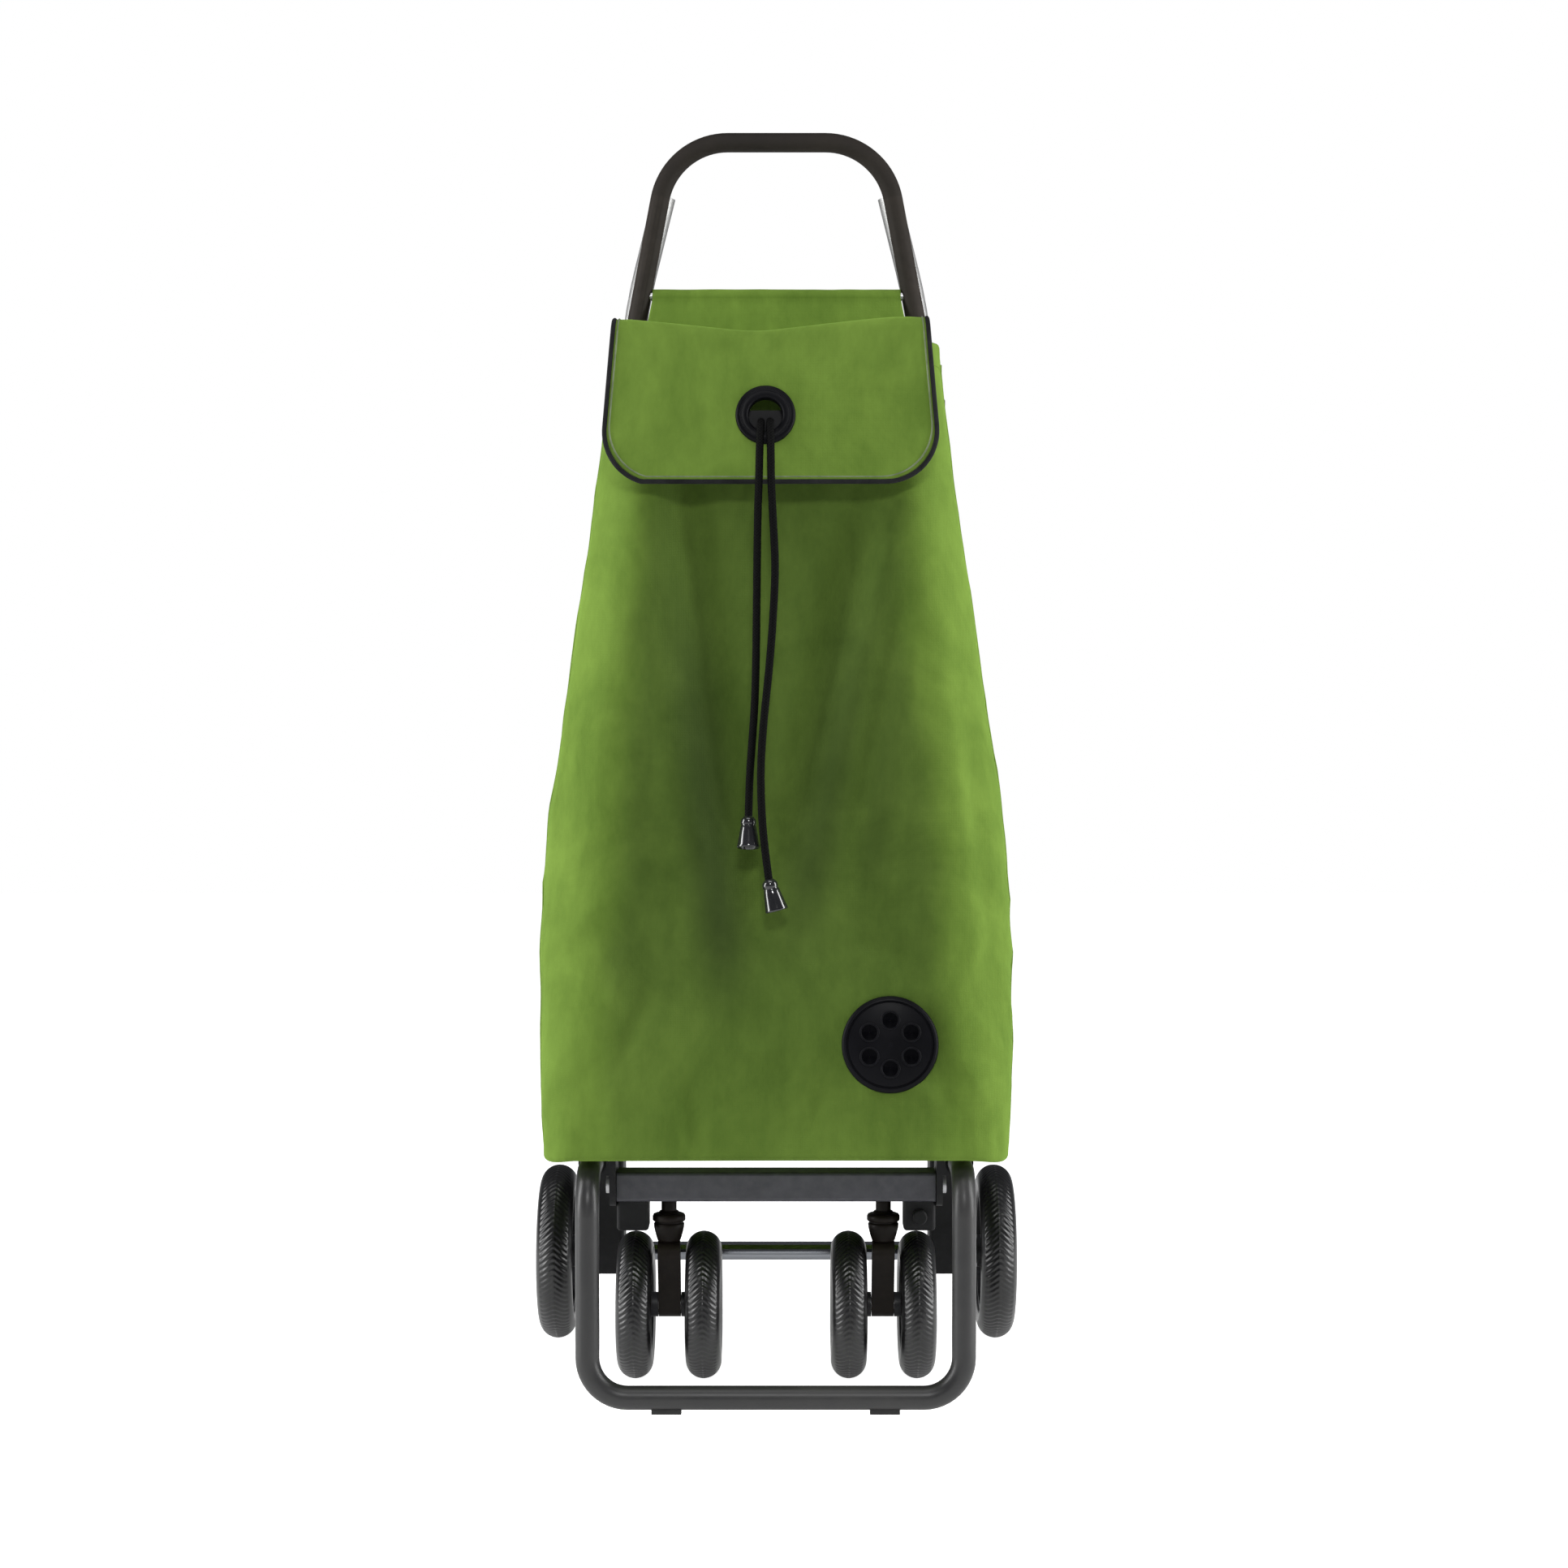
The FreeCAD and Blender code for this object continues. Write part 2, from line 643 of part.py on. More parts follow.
def flap():
    fold = V(0, flap_fold_y, flap_fold_z)
    inset = piping_d + soft_gap
    points = flap_edge(inset)
    outline = bent_path(points, [flap_corner_r - inset] * 2)
    half_top = flap_half_fold - inset
    left_top = V(flap_shift - half_top, 0, 0)
    right_top = V(flap_shift + half_top, 0, 0)
    pairs = ((points[3], right_top), (right_top, left_top), (left_top, points[0]))
    closing = [Part.LineSegment(start, end).toShape() for start, end in pairs]
    face = Part.Face(Part.Wire(Part.__sortEdges__(outline.Edges + closing)))
    skirt = face.extrude(V(0, flap_t, 0))
    skirt.translate(V(0, -flap_t / 2, 0))
    eye = V(eyelet_x, 0, -eyelet_drop)
    barrel_r = eyelet_hole_r + eyelet_barrel_t
    skirt = skirt.cut(rod(barrel_r + running_gap, eye - Y_AXIS * flap_t, eye + Y_AXIS * flap_t))
    skirt = on_plane(skirt, flap_lean_deg, fold)
    hinge_y = flap_hinge_y()
    half_rear = flap_half_rear
    lid = [
        V(flap_shift - half_top, flap_fold_y, flap_fold_z - flap_t / 2),
        V(flap_shift + half_top, flap_fold_y, flap_fold_z - flap_t / 2),
        V(flap_shift + half_rear, hinge_y, flap_fold_z - flap_t / 2),
        V(flap_shift - half_rear, hinge_y, flap_fold_z - flap_t / 2),
    ]
    top = prism(lid, V(0, 0, flap_t))
    pitch = math.degrees(math.atan((flap_hinge_z - flap_fold_z) / (hinge_y - flap_fold_y)))
    top.rotate(fold, X_AXIS, pitch)
    front_round = rod(flap_t / 2, fold + left_top, fold + right_top)
    rear = V(flap_shift, hinge_y, flap_hinge_z)
    rear_round = rod(flap_t / 2, rear - X_AXIS * half_rear, rear + X_AXIS * half_rear)
    save("flap_panel", top.fuse(front_round).fuse(rear_round).fuse(skirt).removeSplitter())

    path_inset = piping_d / 2
    piping = tube(flap_edge(path_inset), [flap_corner_r - path_inset] * 2, piping_d / 2)
    save("flap_piping", on_plane(piping, flap_lean_deg, fold))

    front = -flap_t / 2 - running_gap
    behind = flap_t / 2 + running_gap
    ring = [
        V(0, front, barrel_r), V(0, front, eyelet_r), V(0, front - 0.4 * eyelet_rim_t, eyelet_r),
        V(0, front - eyelet_rim_t, eyelet_r - 3), V(0, front - eyelet_rim_t, eyelet_hole_r + 2.5),
        V(0, front - 0.5 * eyelet_rim_t, eyelet_hole_r), V(0, behind + eyelet_back_t, eyelet_hole_r),
        V(0, behind + eyelet_back_t, eyelet_back_r), V(0, behind, eyelet_back_r), V(0, behind, barrel_r),
    ]
    eyelet = spin(ring, V(0, 0, 0), Y_AXIS)
    eyelet.translate(eye)
    save("eyelet", on_plane(eyelet, flap_lean_deg, fold))


def sleeve_face_y(z):
    """The front face of the hanger sleeve's tail at a height."""
    high_y = handle_y - hanger_rod_d / 2 - soft_gap - sleeve_wall
    low_y = bag_back_y - sleeve_t
    low_z = bag_mouth_z + soft_gap
    return low_y + (high_y - low_y) * (z - low_z) / (hanger_z - low_z)


def flap_hinge_y():
    return sleeve_face_y(flap_hinge_z) - flap_t / 2 - 1.5 * soft_gap


# ---- drawstring ----
def drawstring():
    lock_back = front_y(lock_z - lock_size[2] / 2) - soft_gap
    low = (lock_x - lock_size[0] / 2, lock_back - lock_size[1], lock_z - lock_size[2] / 2)
    high = (lock_x + lock_size[0] / 2, lock_back, lock_z + lock_size[2] / 2)
    save("cord_lock", box(low, high))
    for side, points in cord_routes.items():
        radii = [bend_radius(*three) for three in zip(points, points[1:], points[2:])]
        print("cord_" + side, "radii", [round(r, 1) for r in radii])
        path = bent_path(points, radii)
        solid = sweep(path, cord_d / 2, points[0], points[1])
        expected = math.pi * cord_d ** 2 / 4 * path.Length
        ratio = round(solid.Volume / expected, 4)
        print("cord_" + side, "length", round(path.Length, 1), "volume ratio", ratio)
        save("cord_" + side, solid)
        run = bell_ends[side] - points[-1]
        bell = Part.makeCone(bell_top_r, bell_low_r, bell_len, points[-1], run)
        save("cord_end_" + side, bell)


# ---- folding caster bar ----
def caster_bar():
    y0, y1 = stem_y - bar_size[0] / 2, stem_y + bar_size[0] / 2
    beam = box((-bar_half, y0, bar_bottom_z), (bar_half, y1, bar_bottom_z + bar_size[1]))
    long_edges = [e for e in beam.Edges if e.Length > 2 * bar_half - 1]
    beam = beam.makeFillet(bar_edge_r, long_edges)
    pin_r = hinge_pin_d / 2
    pins = []
    plates = []
    blocks = []
    for _, s in SIDES:
        stem_base = V(s * stem_x, stem_y, bar_bottom_z - 1)
        stem_end = V(s * stem_x, stem_y, stem_top_z + turning_gap)
        beam = beam.cut(rod(stem_d / 2 + running_gap, stem_base, stem_end))
        pin_in = V(s * (bar_half - hinge_pin_in), stem_y, pivot_z)
        pin_face = V(s * hinge_plate_out, stem_y, pivot_z)
        beam = beam.cut(rod(pin_r + running_gap, pin_in - V(s * turning_gap, 0, 0), pin_face))
        head = rod(hinge_pin_head_d / 2, pin_face, pin_face + V(s * hinge_pin_head_t, 0, 0))
        pins.append(rod(pin_r, pin_in, pin_face).fuse(head))
        xs = sorted((s * (hinge_plate_out - hinge_plate_t), s * hinge_plate_out))
        half = hinge_plate_depth / 2
        plate = box((xs[0], stem_y - half, hinge_plate_bottom_z), (xs[1], stem_y + half, rail_z + 4))
        low_edges = [e for e in plate.Edges if abs(e.CenterOfMass.z - hinge_plate_bottom_z) < 0.1
                     and abs(abs(e.CenterOfMass.y - stem_y) - half) < 0.1]
        plate = plate.makeFillet(0.3 * hinge_plate_depth, low_edges)
        plates.append(plate.cut(rod(pin_r, V(xs[0] - 1, stem_y, pivot_z), V(xs[1] + 1, stem_y, pivot_z))))
        w, d, h = block_size
        low = (s * block_x - w / 2, stem_y - d / 2, bar_bottom_z - h)
        block = box(low, (low[0] + w, low[1] + d, bar_bottom_z))
        block = block.makeFillet(bar_edge_r, [e for e in block.Edges if e.CenterOfMass.z < bar_bottom_z - 1])
        blocks.append(block)
    # the pull knob of the fold's lock, in the right block
    face_y = stem_y - block_size[1] / 2
    at = V(block_x, face_y, knob_z)
    stem_end = at + V(0, knob_stem_len, 0)
    bore = rod(knob_stem_r + running_gap, at - Y_AXIS, stem_end + Y_AXIS * turning_gap)
    blocks[1] = blocks[1].cut(bore)
    head = rod(knob_r, at - V(0, knob_t + soft_gap, 0), at - V(0, soft_gap, 0))
    rim_edge = [e for e in head.Edges if e.Closed and e.CenterOfMass.y < face_y - knob_t]
    head = head.makeFillet(knob_r / 4, rim_edge[:1])
    save("latch_knob", head.fuse(rod(knob_stem_r, at - V(0, soft_gap + 1, 0), stem_end)))
    save("caster_bar", beam)
    save("bar_end_blocks", *blocks)
    save("bar_pivot_pins", *pins)
    save("hinge_brackets", *plates)


def casters():
    for side, s in SIDES:
        stem_at = V(s * stem_x, stem_y, 0)
        ball_z = (collar_z[0] + collar_z[1]) / 2
        half_h = (collar_z[1] - collar_z[0]) / 2
        ball = Part.makeSphere(collar_r, stem_at + V(0, 0, ball_z))
        low = (stem_at.x - 20, stem_y - 20, ball_z - half_h)
        band = box(low, (stem_at.x + 20, stem_y + 20, ball_z + half_h))
        stem = ball.common(band)
        top = stem_at + V(0, 0, stem_top_z)
        save(side + "_caster_stem", stem.fuse(rod(stem_d / 2, stem_at + V(0, 0, ball_z), top)))
        save(side + "_caster_yoke", yoke(stem_at))
        spread = caster_wheel_spread
        nut_from = spread + caster_hub_out + turning_gap
        axle = [V(stem_at.x - nut_from - caster_nut_t, caster_axle_y, caster_axle_z),
                V(stem_at.x + nut_from + caster_nut_t, caster_axle_y, caster_axle_z)]
        shaft = rod(caster_axle_d / 2, *axle)
        for end, way in zip(axle, (1, -1)):
            shaft = shaft.fuse(rod(caster_nut_r, end, end + V(way * caster_nut_t, 0, 0)))
        save(side + "_caster_axle", shaft)
        for place, w in (("outer", s), ("inner", -s)):
            centre = V(stem_at.x + w * spread, caster_axle_y, caster_axle_z)
            hub_in = -w * (spread - yoke_w / 2 - turning_gap)
            ends = sorted((hub_in, w * caster_hub_out))
            bore_r = caster_axle_d / 2 + running_gap
            name = side + "_caster_" + place
            save(name + "_tyre", tyre(caster_wheel_d, caster_wheel_w, centre))
            save(name + "_rim", rim(caster_wheel_d, caster_wheel_w, centre, bore_r, *ends))


def yoke(stem_at):
    """A flat arm from under the collar to the axle."""
    half = yoke_w / 2
    top = V(stem_at.x - half, stem_y, yoke_top_z)
    low = V(stem_at.x - half, caster_axle_y, caster_axle_z)
    across = V(yoke_w, 0, 0)
    run = low - top
    side = V(0, -run.z, run.y).normalize()
    web = [top + side * yoke_top_r, low + side * yoke_low_r, low - side * yoke_low_r, top - side * yoke_top_r]
    body = rod(yoke_top_r, top, top + across).fuse(rod(yoke_low_r, low, low + across))
    body = body.fuse(prism(web, across)).removeSplitter()
    body = body.cut(rod(caster_axle_d / 2, low - across, low + across * 2))
    high = box((stem_at.x - 30, stem_y - 40, collar_z[0]), (stem_at.x + 30, stem_y + 60, collar_z[0] + 30))
    return body.cut(high)


for wheel_side, wheel_s in SIDES:
    rear_wheel(wheel_side, wheel_s)
rear_axle()
foot_frame()
uprights()
axle_brackets()
handle()
bag()
hanger_sleeve()
vent()
flap()
drawstring()
caster_bar()
casters()
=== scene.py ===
import json
import math

import bmesh
import bpy
from bpy.props import FloatProperty, FloatVectorProperty, IntProperty, PointerProperty
from mathutils import Matrix, Vector, noise


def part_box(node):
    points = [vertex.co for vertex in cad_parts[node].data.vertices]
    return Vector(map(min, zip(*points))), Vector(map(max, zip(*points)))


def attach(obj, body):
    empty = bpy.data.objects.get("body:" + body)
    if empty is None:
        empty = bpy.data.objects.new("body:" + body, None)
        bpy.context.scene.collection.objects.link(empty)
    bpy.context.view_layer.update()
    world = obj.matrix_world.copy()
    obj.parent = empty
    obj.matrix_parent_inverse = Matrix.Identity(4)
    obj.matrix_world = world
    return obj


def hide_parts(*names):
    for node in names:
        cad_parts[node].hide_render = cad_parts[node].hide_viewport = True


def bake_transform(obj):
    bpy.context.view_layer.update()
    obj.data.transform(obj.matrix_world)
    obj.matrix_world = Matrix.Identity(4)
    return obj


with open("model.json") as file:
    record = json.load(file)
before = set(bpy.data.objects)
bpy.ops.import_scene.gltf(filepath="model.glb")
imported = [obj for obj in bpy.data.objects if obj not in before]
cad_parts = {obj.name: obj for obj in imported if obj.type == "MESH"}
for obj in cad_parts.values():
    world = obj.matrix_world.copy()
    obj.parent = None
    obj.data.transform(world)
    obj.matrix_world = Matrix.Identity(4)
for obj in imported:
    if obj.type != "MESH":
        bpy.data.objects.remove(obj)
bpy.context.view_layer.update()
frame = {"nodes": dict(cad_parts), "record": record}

bl_info = {
    "name": "Shopping trolley looks",
    "version": (1, 0, 0),
    "blender": (4, 5, 0),
    "location": "View3D > Sidebar > Trolley",
    "description": "Builds the fabric, tyres, cords, trim and finishes of a wheeled shopping trolley",
    "category": "Add Mesh",
}

MM = 0.001
SIDES = (("left", -1), ("right", 1))
BAG_PANELS = ("front_panel", "back_panel", "left_gusset", "right_gusset", "bag_floor", "mouth_hem")


def clamp(value, low=0.0, high=1.0):
    return max(low, min(high, value))


def smooth(low, high, value):
    t = clamp((value - low) / (high - low))
    return t * t * (3 - 2 * t)


def mix(a, b, t):
    return a + (b - a) * t


def along(table, key):
    """A value between (key, value) pairs, whose keys rise."""
    for (k0, v0), (k1, v1) in zip(table, table[1:]):
        if key <= k1:
            return mix(v0, v1, clamp((key - k0) / (k1 - k0)))
    return table[-1][1]


def in_metres(*pairs):
    """Pairs given in millimetres."""
    return [(a * MM, b * MM) for a, b in pairs]


def circle(count):
    """(cosine, sine) pairs at even steps round a circle."""
    angles = [2 * math.pi * n / count for n in range(count)]
    return [(math.cos(a), math.sin(a)) for a in angles]


def box_centre(cad_node):
    """(x, y, z) of the middle of a CAD piece's box."""
    low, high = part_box(cad_node)
    return tuple((a + b) / 2 for a, b in zip(low, high))


# ---------------------------------------------------------------- settings
def length_setting(name, description, default):
    return FloatProperty(name=name, description=description, default=default, subtype="DISTANCE",
                         unit="LENGTH")


def power_setting(name, description, default):
    return FloatProperty(name=name, description=description, unit="POWER", default=default)


def colour_setting(name, description, default):
    return FloatVectorProperty(name=name, description=description, default=default, subtype="COLOR", size=3,
                               min=0, max=1)


class TrolleyFabricSettings(bpy.types.PropertyGroup):
    bright: colour_setting("Raised nap", "Colour of the cloth where the nap stands up", (0.176, 0.288, 0.044))
    dark: colour_setting("Laid nap", "Colour of the cloth where the nap lies down", (0.108, 0.190, 0.025))
    # a tint of painted shade that darkens the bag's front between its corners
    front_shade_tint: colour_setting("Front shade tint", "Tint of the front, where the nap is laid", (0.595, 0.595, 0.63))
    corner: length_setting("Front corner radius", "How round the bag's front corners are", 0.058)
    corner_low: length_setting("Floor corner radius", "How round the front corners are at the floor", 0.031)
    heel: length_setting("Heel radius", "Radius of the bend round the bag's floor", 0.005)
    droop: length_setting("Corner droop", "How far the floor's corners hang under its middle", 0.0035)
    hollow: length_setting("Front hollow", "How far the front sinks in under the flap", 0.011)
    fold_depth: length_setting("Fold depth", "Depth of the soft folds in the front", 0.0105)
    wall: length_setting("Cloth and lining", "Thickness of the bag's wall", 0.003)


class TrolleyFlapSettings(bpy.types.PropertyGroup):
    sag: length_setting("Fold sag", "How far the fold line sinks in the middle", 0.0105)
    fold_radius: length_setting("Fold radius", "Radius of the bend at the front fold", 0.009)
    piping: length_setting("Piping", "Diameter of the corded edge", 0.0038)


class TrolleyWheelSettings(bpy.types.PropertyGroup):
    caster_chevrons: IntProperty(name="Caster tread", default=78,
                                 description="Tread blocks round a caster tyre")
    rear_chevrons: IntProperty(name="Rear tread", default=90, description="Tread blocks round a rear tyre")
    slant: FloatProperty(name="Tread slant", default=2.6,
                         description="Blocks that a groove crosses from the middle to the side")
    tread_depth: length_setting("Tread depth", "Depth of the tread grooves", 0.0009)


class TrolleyStageSettings(bpy.types.PropertyGroup):
    camera_distance: length_setting("Camera distance", "From the camera to the rear axle", 2.6)
    camera_height: length_setting("Camera height", "Height of the camera over the floor", 0.56)
    lens: FloatProperty(name="Lens", description="Focal length on a 36 mm wide sensor", default=68.46)
    key_power: power_setting("Key light", "Power of the overhead light", 13.0)
    side_power: power_setting("Side lights", "Power of each light at the sides", 36.0)
    front_power: power_setting("Front light", "Power of the small light over the camera", 17.0)
    floor_glow: FloatProperty(name="Floor glow", default=0.98,
                              description="Light that keeps the floor pale to the horizon")
    sky: FloatProperty(name="Fill", description="Strength of the light from all round", default=0.13)


# ---------------------------------------------------------------- shader helpers
def group_new(name, inputs, outputs):
    """A shader group and the sockets inside its two ends. Inputs are (label, number or vector)."""
    group = bpy.data.node_groups.new(name, "ShaderNodeTree")
    for label, default in inputs:
        kind = "NodeSocketFloat" if isinstance(default, float) else "NodeSocketVector"
        socket = group.interface.new_socket(name=label, in_out="INPUT", socket_type=kind)
        socket.default_value = default
    for label in outputs:
        group.interface.new_socket(name=label, in_out="OUTPUT", socket_type="NodeSocketFloat")
    source = group.nodes.new("NodeGroupInput").outputs
    sink = group.nodes.new("NodeGroupOutput").inputs
    return group, source, sink


def node(tree, kind, links=None, **values):
    """A node with some attributes set, and inputs given by name as a value or another socket."""
    made = tree.nodes.new(kind)
    for key, value in values.items():
        setattr(made, key, value)
    for key, value in (links or {}).items():
        socket = made.inputs[key]
        if isinstance(value, bpy.types.NodeSocket):
            tree.links.new(value, socket)
        else:
            socket.default_value = value
    return made


def group_node(tree, group, **values):
    """A shader group in a tree, its inputs given by name; an underscore stands for a space."""
    made = node(tree, "ShaderNodeGroup", node_tree=group)
    for key, value in values.items():
        made.inputs[key.replace("_", " ")].default_value = value
    return made.outputs


def object_point(tree):
    return tree.nodes.new("ShaderNodeTexCoord").outputs["Object"]


def maths(tree, operation, *values):
    return node(tree, "ShaderNodeMath", dict(enumerate(values)), operation=operation).outputs[0]


def ranged(tree, value, low, high, to_low=0.0, to_high=1.0, kind="LINEAR"):
    """The value moved from one range to another, and kept inside it."""
    given = {"Value": value, "From Min": low, "From Max": high, "To Min": to_low, "To Max": to_high}
    return node(tree, "ShaderNodeMapRange", given, interpolation_type=kind).outputs["Result"]


def cloudy(tree, at, scale, detail=2.0, roughness=0.5, distortion=0.0):
    given = {"Vector": at, "Scale": scale, "Detail": detail, "Roughness": roughness, "Distortion": distortion}
    return node(tree, "ShaderNodeTexNoise", given).outputs["Fac"]


def blended(tree, factor, low, high, **how):
    """A colour between two, each of them a colour or a socket."""
    given = {"Factor": factor}
    for socket, colour in ((6, low), (7, high)):
        given[socket] = colour if isinstance(colour, bpy.types.NodeSocket) else (*colour, 1)
    return node(tree, "ShaderNodeMix", given, data_type="RGBA", **how).outputs[2]


def brushed_nap_group():
    """Suede-like cloth: large patches of nap lying different ways, a finer mottle, and the height of its
    fibres.
    """
    inputs = (("Patch scale", 9.0), ("Fibre scale", 900.0))
    group, source, sink = group_new("Brushed nap", inputs, ("Nap", "Height"))
    at = object_point(group)
    patch = cloudy(group, at, source["Patch scale"], 5.0, 0.62, 0.9)
    streak_at = node(group, "ShaderNodeMapping", {"Vector": at, "Scale": (1.0, 1.0, 0.35)})
    streak = cloudy(group, streak_at.outputs["Vector"], 70.0, 6.0, 0.7)
    fibre = cloudy(group, at, source["Fibre scale"])
    weave = []
    for direction in ("X", "Z"):
        given = {"Vector": at, "Scale": 330.0, "Distortion": 0.6, "Detail": 1.0}
        wave = node(group, "ShaderNodeTexWave", given, wave_type="BANDS", bands_direction=direction)
        weave.append(wave.outputs["Fac"])
    threads = maths(group, "MULTIPLY", *weave)
    broad = maths(group, "MULTIPLY", patch, 0.62)
    streaked = maths(group, "MULTIPLY_ADD", streak, 0.38, broad)
    height = maths(group, "MULTIPLY_ADD", threads, 0.55, fibre)
    group.links.new(ranged(group, streaked, 0.36, 0.64), sink["Nap"])
    group.links.new(height, sink["Height"])
    return group


def moulded_grain_group():
    """Moulded or painted surfaces: a fine grain and slow patches of handling."""
    inputs = (("Grain scale", 700.0), ("Rub scale", 14.0))
    group, source, sink = group_new("Moulded grain", inputs, ("Rub", "Height"))
    at = object_point(group)
    grain = node(group, "ShaderNodeTexVoronoi", {"Vector": at, "Scale": source["Grain scale"]})
    rub = cloudy(group, at, source["Rub scale"], 6.0, 0.65)
    group.links.new(ranged(group, rub, 0.35, 0.68), sink["Rub"])
    group.links.new(grain.outputs["Distance"], sink["Height"])
    return group


def edge_wear_group():
    """A mask of sharp outer edges, broken up by noise."""
    inputs = (("Sharpness", 0.53), ("Breakup", 120.0))
    group, source, sink = group_new("Edge wear", inputs, ("Wear",))
    point = group.nodes.new("ShaderNodeNewGeometry")
    chips = cloudy(group, object_point(group), source["Breakup"], 4.0)
    top = maths(group, "ADD", source["Sharpness"], 0.06)
    edge = ranged(group, point.outputs["Pointiness"], source["Sharpness"], top)
    group.links.new(maths(group, "MULTIPLY", edge, chips), sink["Wear"])
    return group


def crease_group():
    """A soft streak of painted shade along local Z from a start point, with a width and a length in metres.
    """
    inputs = (("Start", (0.0, 0.0, 0.0)), ("Lean", 0.0), ("Width", 0.03), ("Length", 0.4))
    group, source, sink = group_new("Crease streak", inputs, ("Streak",))
    turn = node(group, "ShaderNodeCombineXYZ", {"Y": source["Lean"]})
    given = {"Vector": object_point(group), "Location": source["Start"], "Rotation": turn.outputs[0]}
    local = node(group, "ShaderNodeMapping", given, vector_type="TEXTURE")
    split = node(group, "ShaderNodeSeparateXYZ", {"Vector": local.outputs["Vector"]})
    off = maths(group, "ABSOLUTE", split.outputs["X"])
    across = ranged(group, off, 0.0, source["Width"], 1.0, 0.0, "SMOOTHSTEP")
    down = maths(group, "DIVIDE", split.outputs["Z"], source["Length"])
    start = ranged(group, down, 0.0, 0.6, kind="SMOOTHSTEP")
    end = ranged(group, down, 0.8, 1.05, 1.0, 0.0, "SMOOTHSTEP")
    ends = maths(group, "MULTIPLY", start, end)
    group.links.new(maths(group, "MULTIPLY", across, ends), sink["Streak"])
    return group


def painted_front_shade_group(form):
    """A soft-edged mask of painted shade on the bag's front between its corners, deeper in its valleys."""
    group, source, sink = group_new("Painted front shade", (("Feather", 0.03),), ("Mask",))
    at = object_point(group)
    split = node(group, "ShaderNodeSeparateXYZ", {"Vector": at})
    x, y, z = (split.outputs[axis] for axis in "XYZ")
    wander = maths(group, "MULTIPLY_ADD", cloudy(group, at, 16.0, 4.0), 0.03, -0.015)
    away = maths(group, "ABSOLUTE", x)
    edge = ranged(group, z, form.bottom + 0.15, form.top, form.half_wide - 0.040, form.half_top - 0.024)
    moved = maths(group, "ADD", maths(group, "SUBTRACT", edge, away), wander)
    across = ranged(group, moved, 0.0, source["Feather"], kind="SMOOTHSTEP")
    facing = ranged(group, y, -0.075, -0.105)
    # the painted shade grows weaker towards the floor
    low = ranged(group, z, form.bottom - 0.02, form.bottom + 0.16, 0.35)
    front = maths(group, "MULTIPLY", across, facing)
    total = maths(group, "MULTIPLY", front, low)
    streaks = crease_group()
    # painted shade streaks down the valleys of the front's folds
    for (x0, z0), (x1, z1), width, strength in FRONT_SHADE_STREAKS:
        run = (x1 - x0, z1 - z0)
        streak = group_node(group, streaks, Start=(x0, 0, form.bottom + z0), Lean=math.atan2(*run),
                            Width=width, Length=math.hypot(*run))
        added = maths(group, "MULTIPLY", streak["Streak"], strength)
        total = maths(group, "MULTIPLY_ADD", added, facing, total)
    group.links.new(total, sink["Mask"])
    return group


# ---------------------------------------------------------------- materials
def principled(name, roughness, metallic=0.0, **fixed):
    """A material with its Principled shader; fixed values go straight on the shader's sockets."""
    material = bpy.data.materials.new(name)
    material.use_nodes = True
    tree = material.node_tree
    shader = tree.nodes["Principled BSDF"]
    shader.inputs["Roughness"].default_value = roughness
    shader.inputs["Metallic"].default_value = metallic
    for key, value in fixed.items():
        shader.inputs[key.replace("_", " ")].default_value = value
    return material, tree, shader


def dress(tree, shader, colour, height, strength, distance=0.0002, roughness=None):
    """Links what varies over a surface: its colour, its relief and perhaps its roughness."""
    relief = node(tree, "ShaderNodeBump", {"Height": height, "Strength": strength, "Distance": distance})
    tree.links.new(relief.outputs["Normal"], shader.inputs["Normal"])
    tree.links.new(colour, shader.inputs["Base Color"])
    if roughness is not None:
        tree.links.new(roughness, shader.inputs["Roughness"])


def cloth_material(name, dark, bright, group, patch_scale, sheen, shaded=None):
    """Napped cloth. The shaded argument is a mask group and the tint of painted shade that it multiplies in.
    """
    material, tree, shader = principled(name, 0.92, Sheen_Weight=sheen, Sheen_Roughness=0.45,
                                        Specular_IOR_Level=0.18)
    shader.inputs["Sheen Tint"].default_value = (*[clamp(c * 3.2) for c in bright], 1)
    nap = group_node(tree, group, Patch_scale=patch_scale)
    colour = blended(tree, nap["Nap"], dark, bright)
    # painted shade: the mask multiplies its tint into the cloth's colour
    if shaded:
        mask = group_node(tree, shaded[0])["Mask"]
        colour = blended(tree, mask, colour, shaded[1], blend_type="MULTIPLY", clamp_factor=False)
    dress(tree, shader, colour, nap["Height"], 0.35, 0.0004)
    return material


def moulded_material(name, low, high, rough, group, wear, grain=700.0, strength=0.12, **fixed):
    """A moulded or painted finish: colour and roughness drift with handling, and edges are rubbed."""
    material, tree, shader = principled(name, rough[0], **fixed)
    grained = group_node(tree, group, Grain_scale=grain)
    tone = blended(tree, grained["Rub"], low, high)
    rubbed = blended(tree, group_node(tree, wear)["Wear"], tone, [c * 1.8 for c in high])
    spread = ranged(tree, grained["Rub"], 0.0, 1.0, *rough)
    dress(tree, shader, rubbed, grained["Height"], strength, roughness=spread)
    return material


def braid_material(name, colour):
    """A braided cord: two crossing spirals of strands."""
    material, tree, shader = principled(name, 0.7, Specular_IOR_Level=0.05)
    at = object_point(tree)
    bands = []
    for lean in (0.75, -0.75):
        turned = node(tree, "ShaderNodeMapping", {"Vector": at, "Rotation": (0.0, lean, 0.0)})
        given = {"Vector": turned.outputs["Vector"], "Scale": 190.0, "Distortion": 0.3}
        bands.append(node(tree, "ShaderNodeTexWave", given, bands_direction="Z").outputs["Fac"])
    cross = maths(tree, "MAXIMUM", *bands)
    tone = blended(tree, cross, [c * 0.4 for c in colour], [c * 1.6 for c in colour])
    dress(tree, shader, tone, cross, 0.8, 0.0005)
    return material


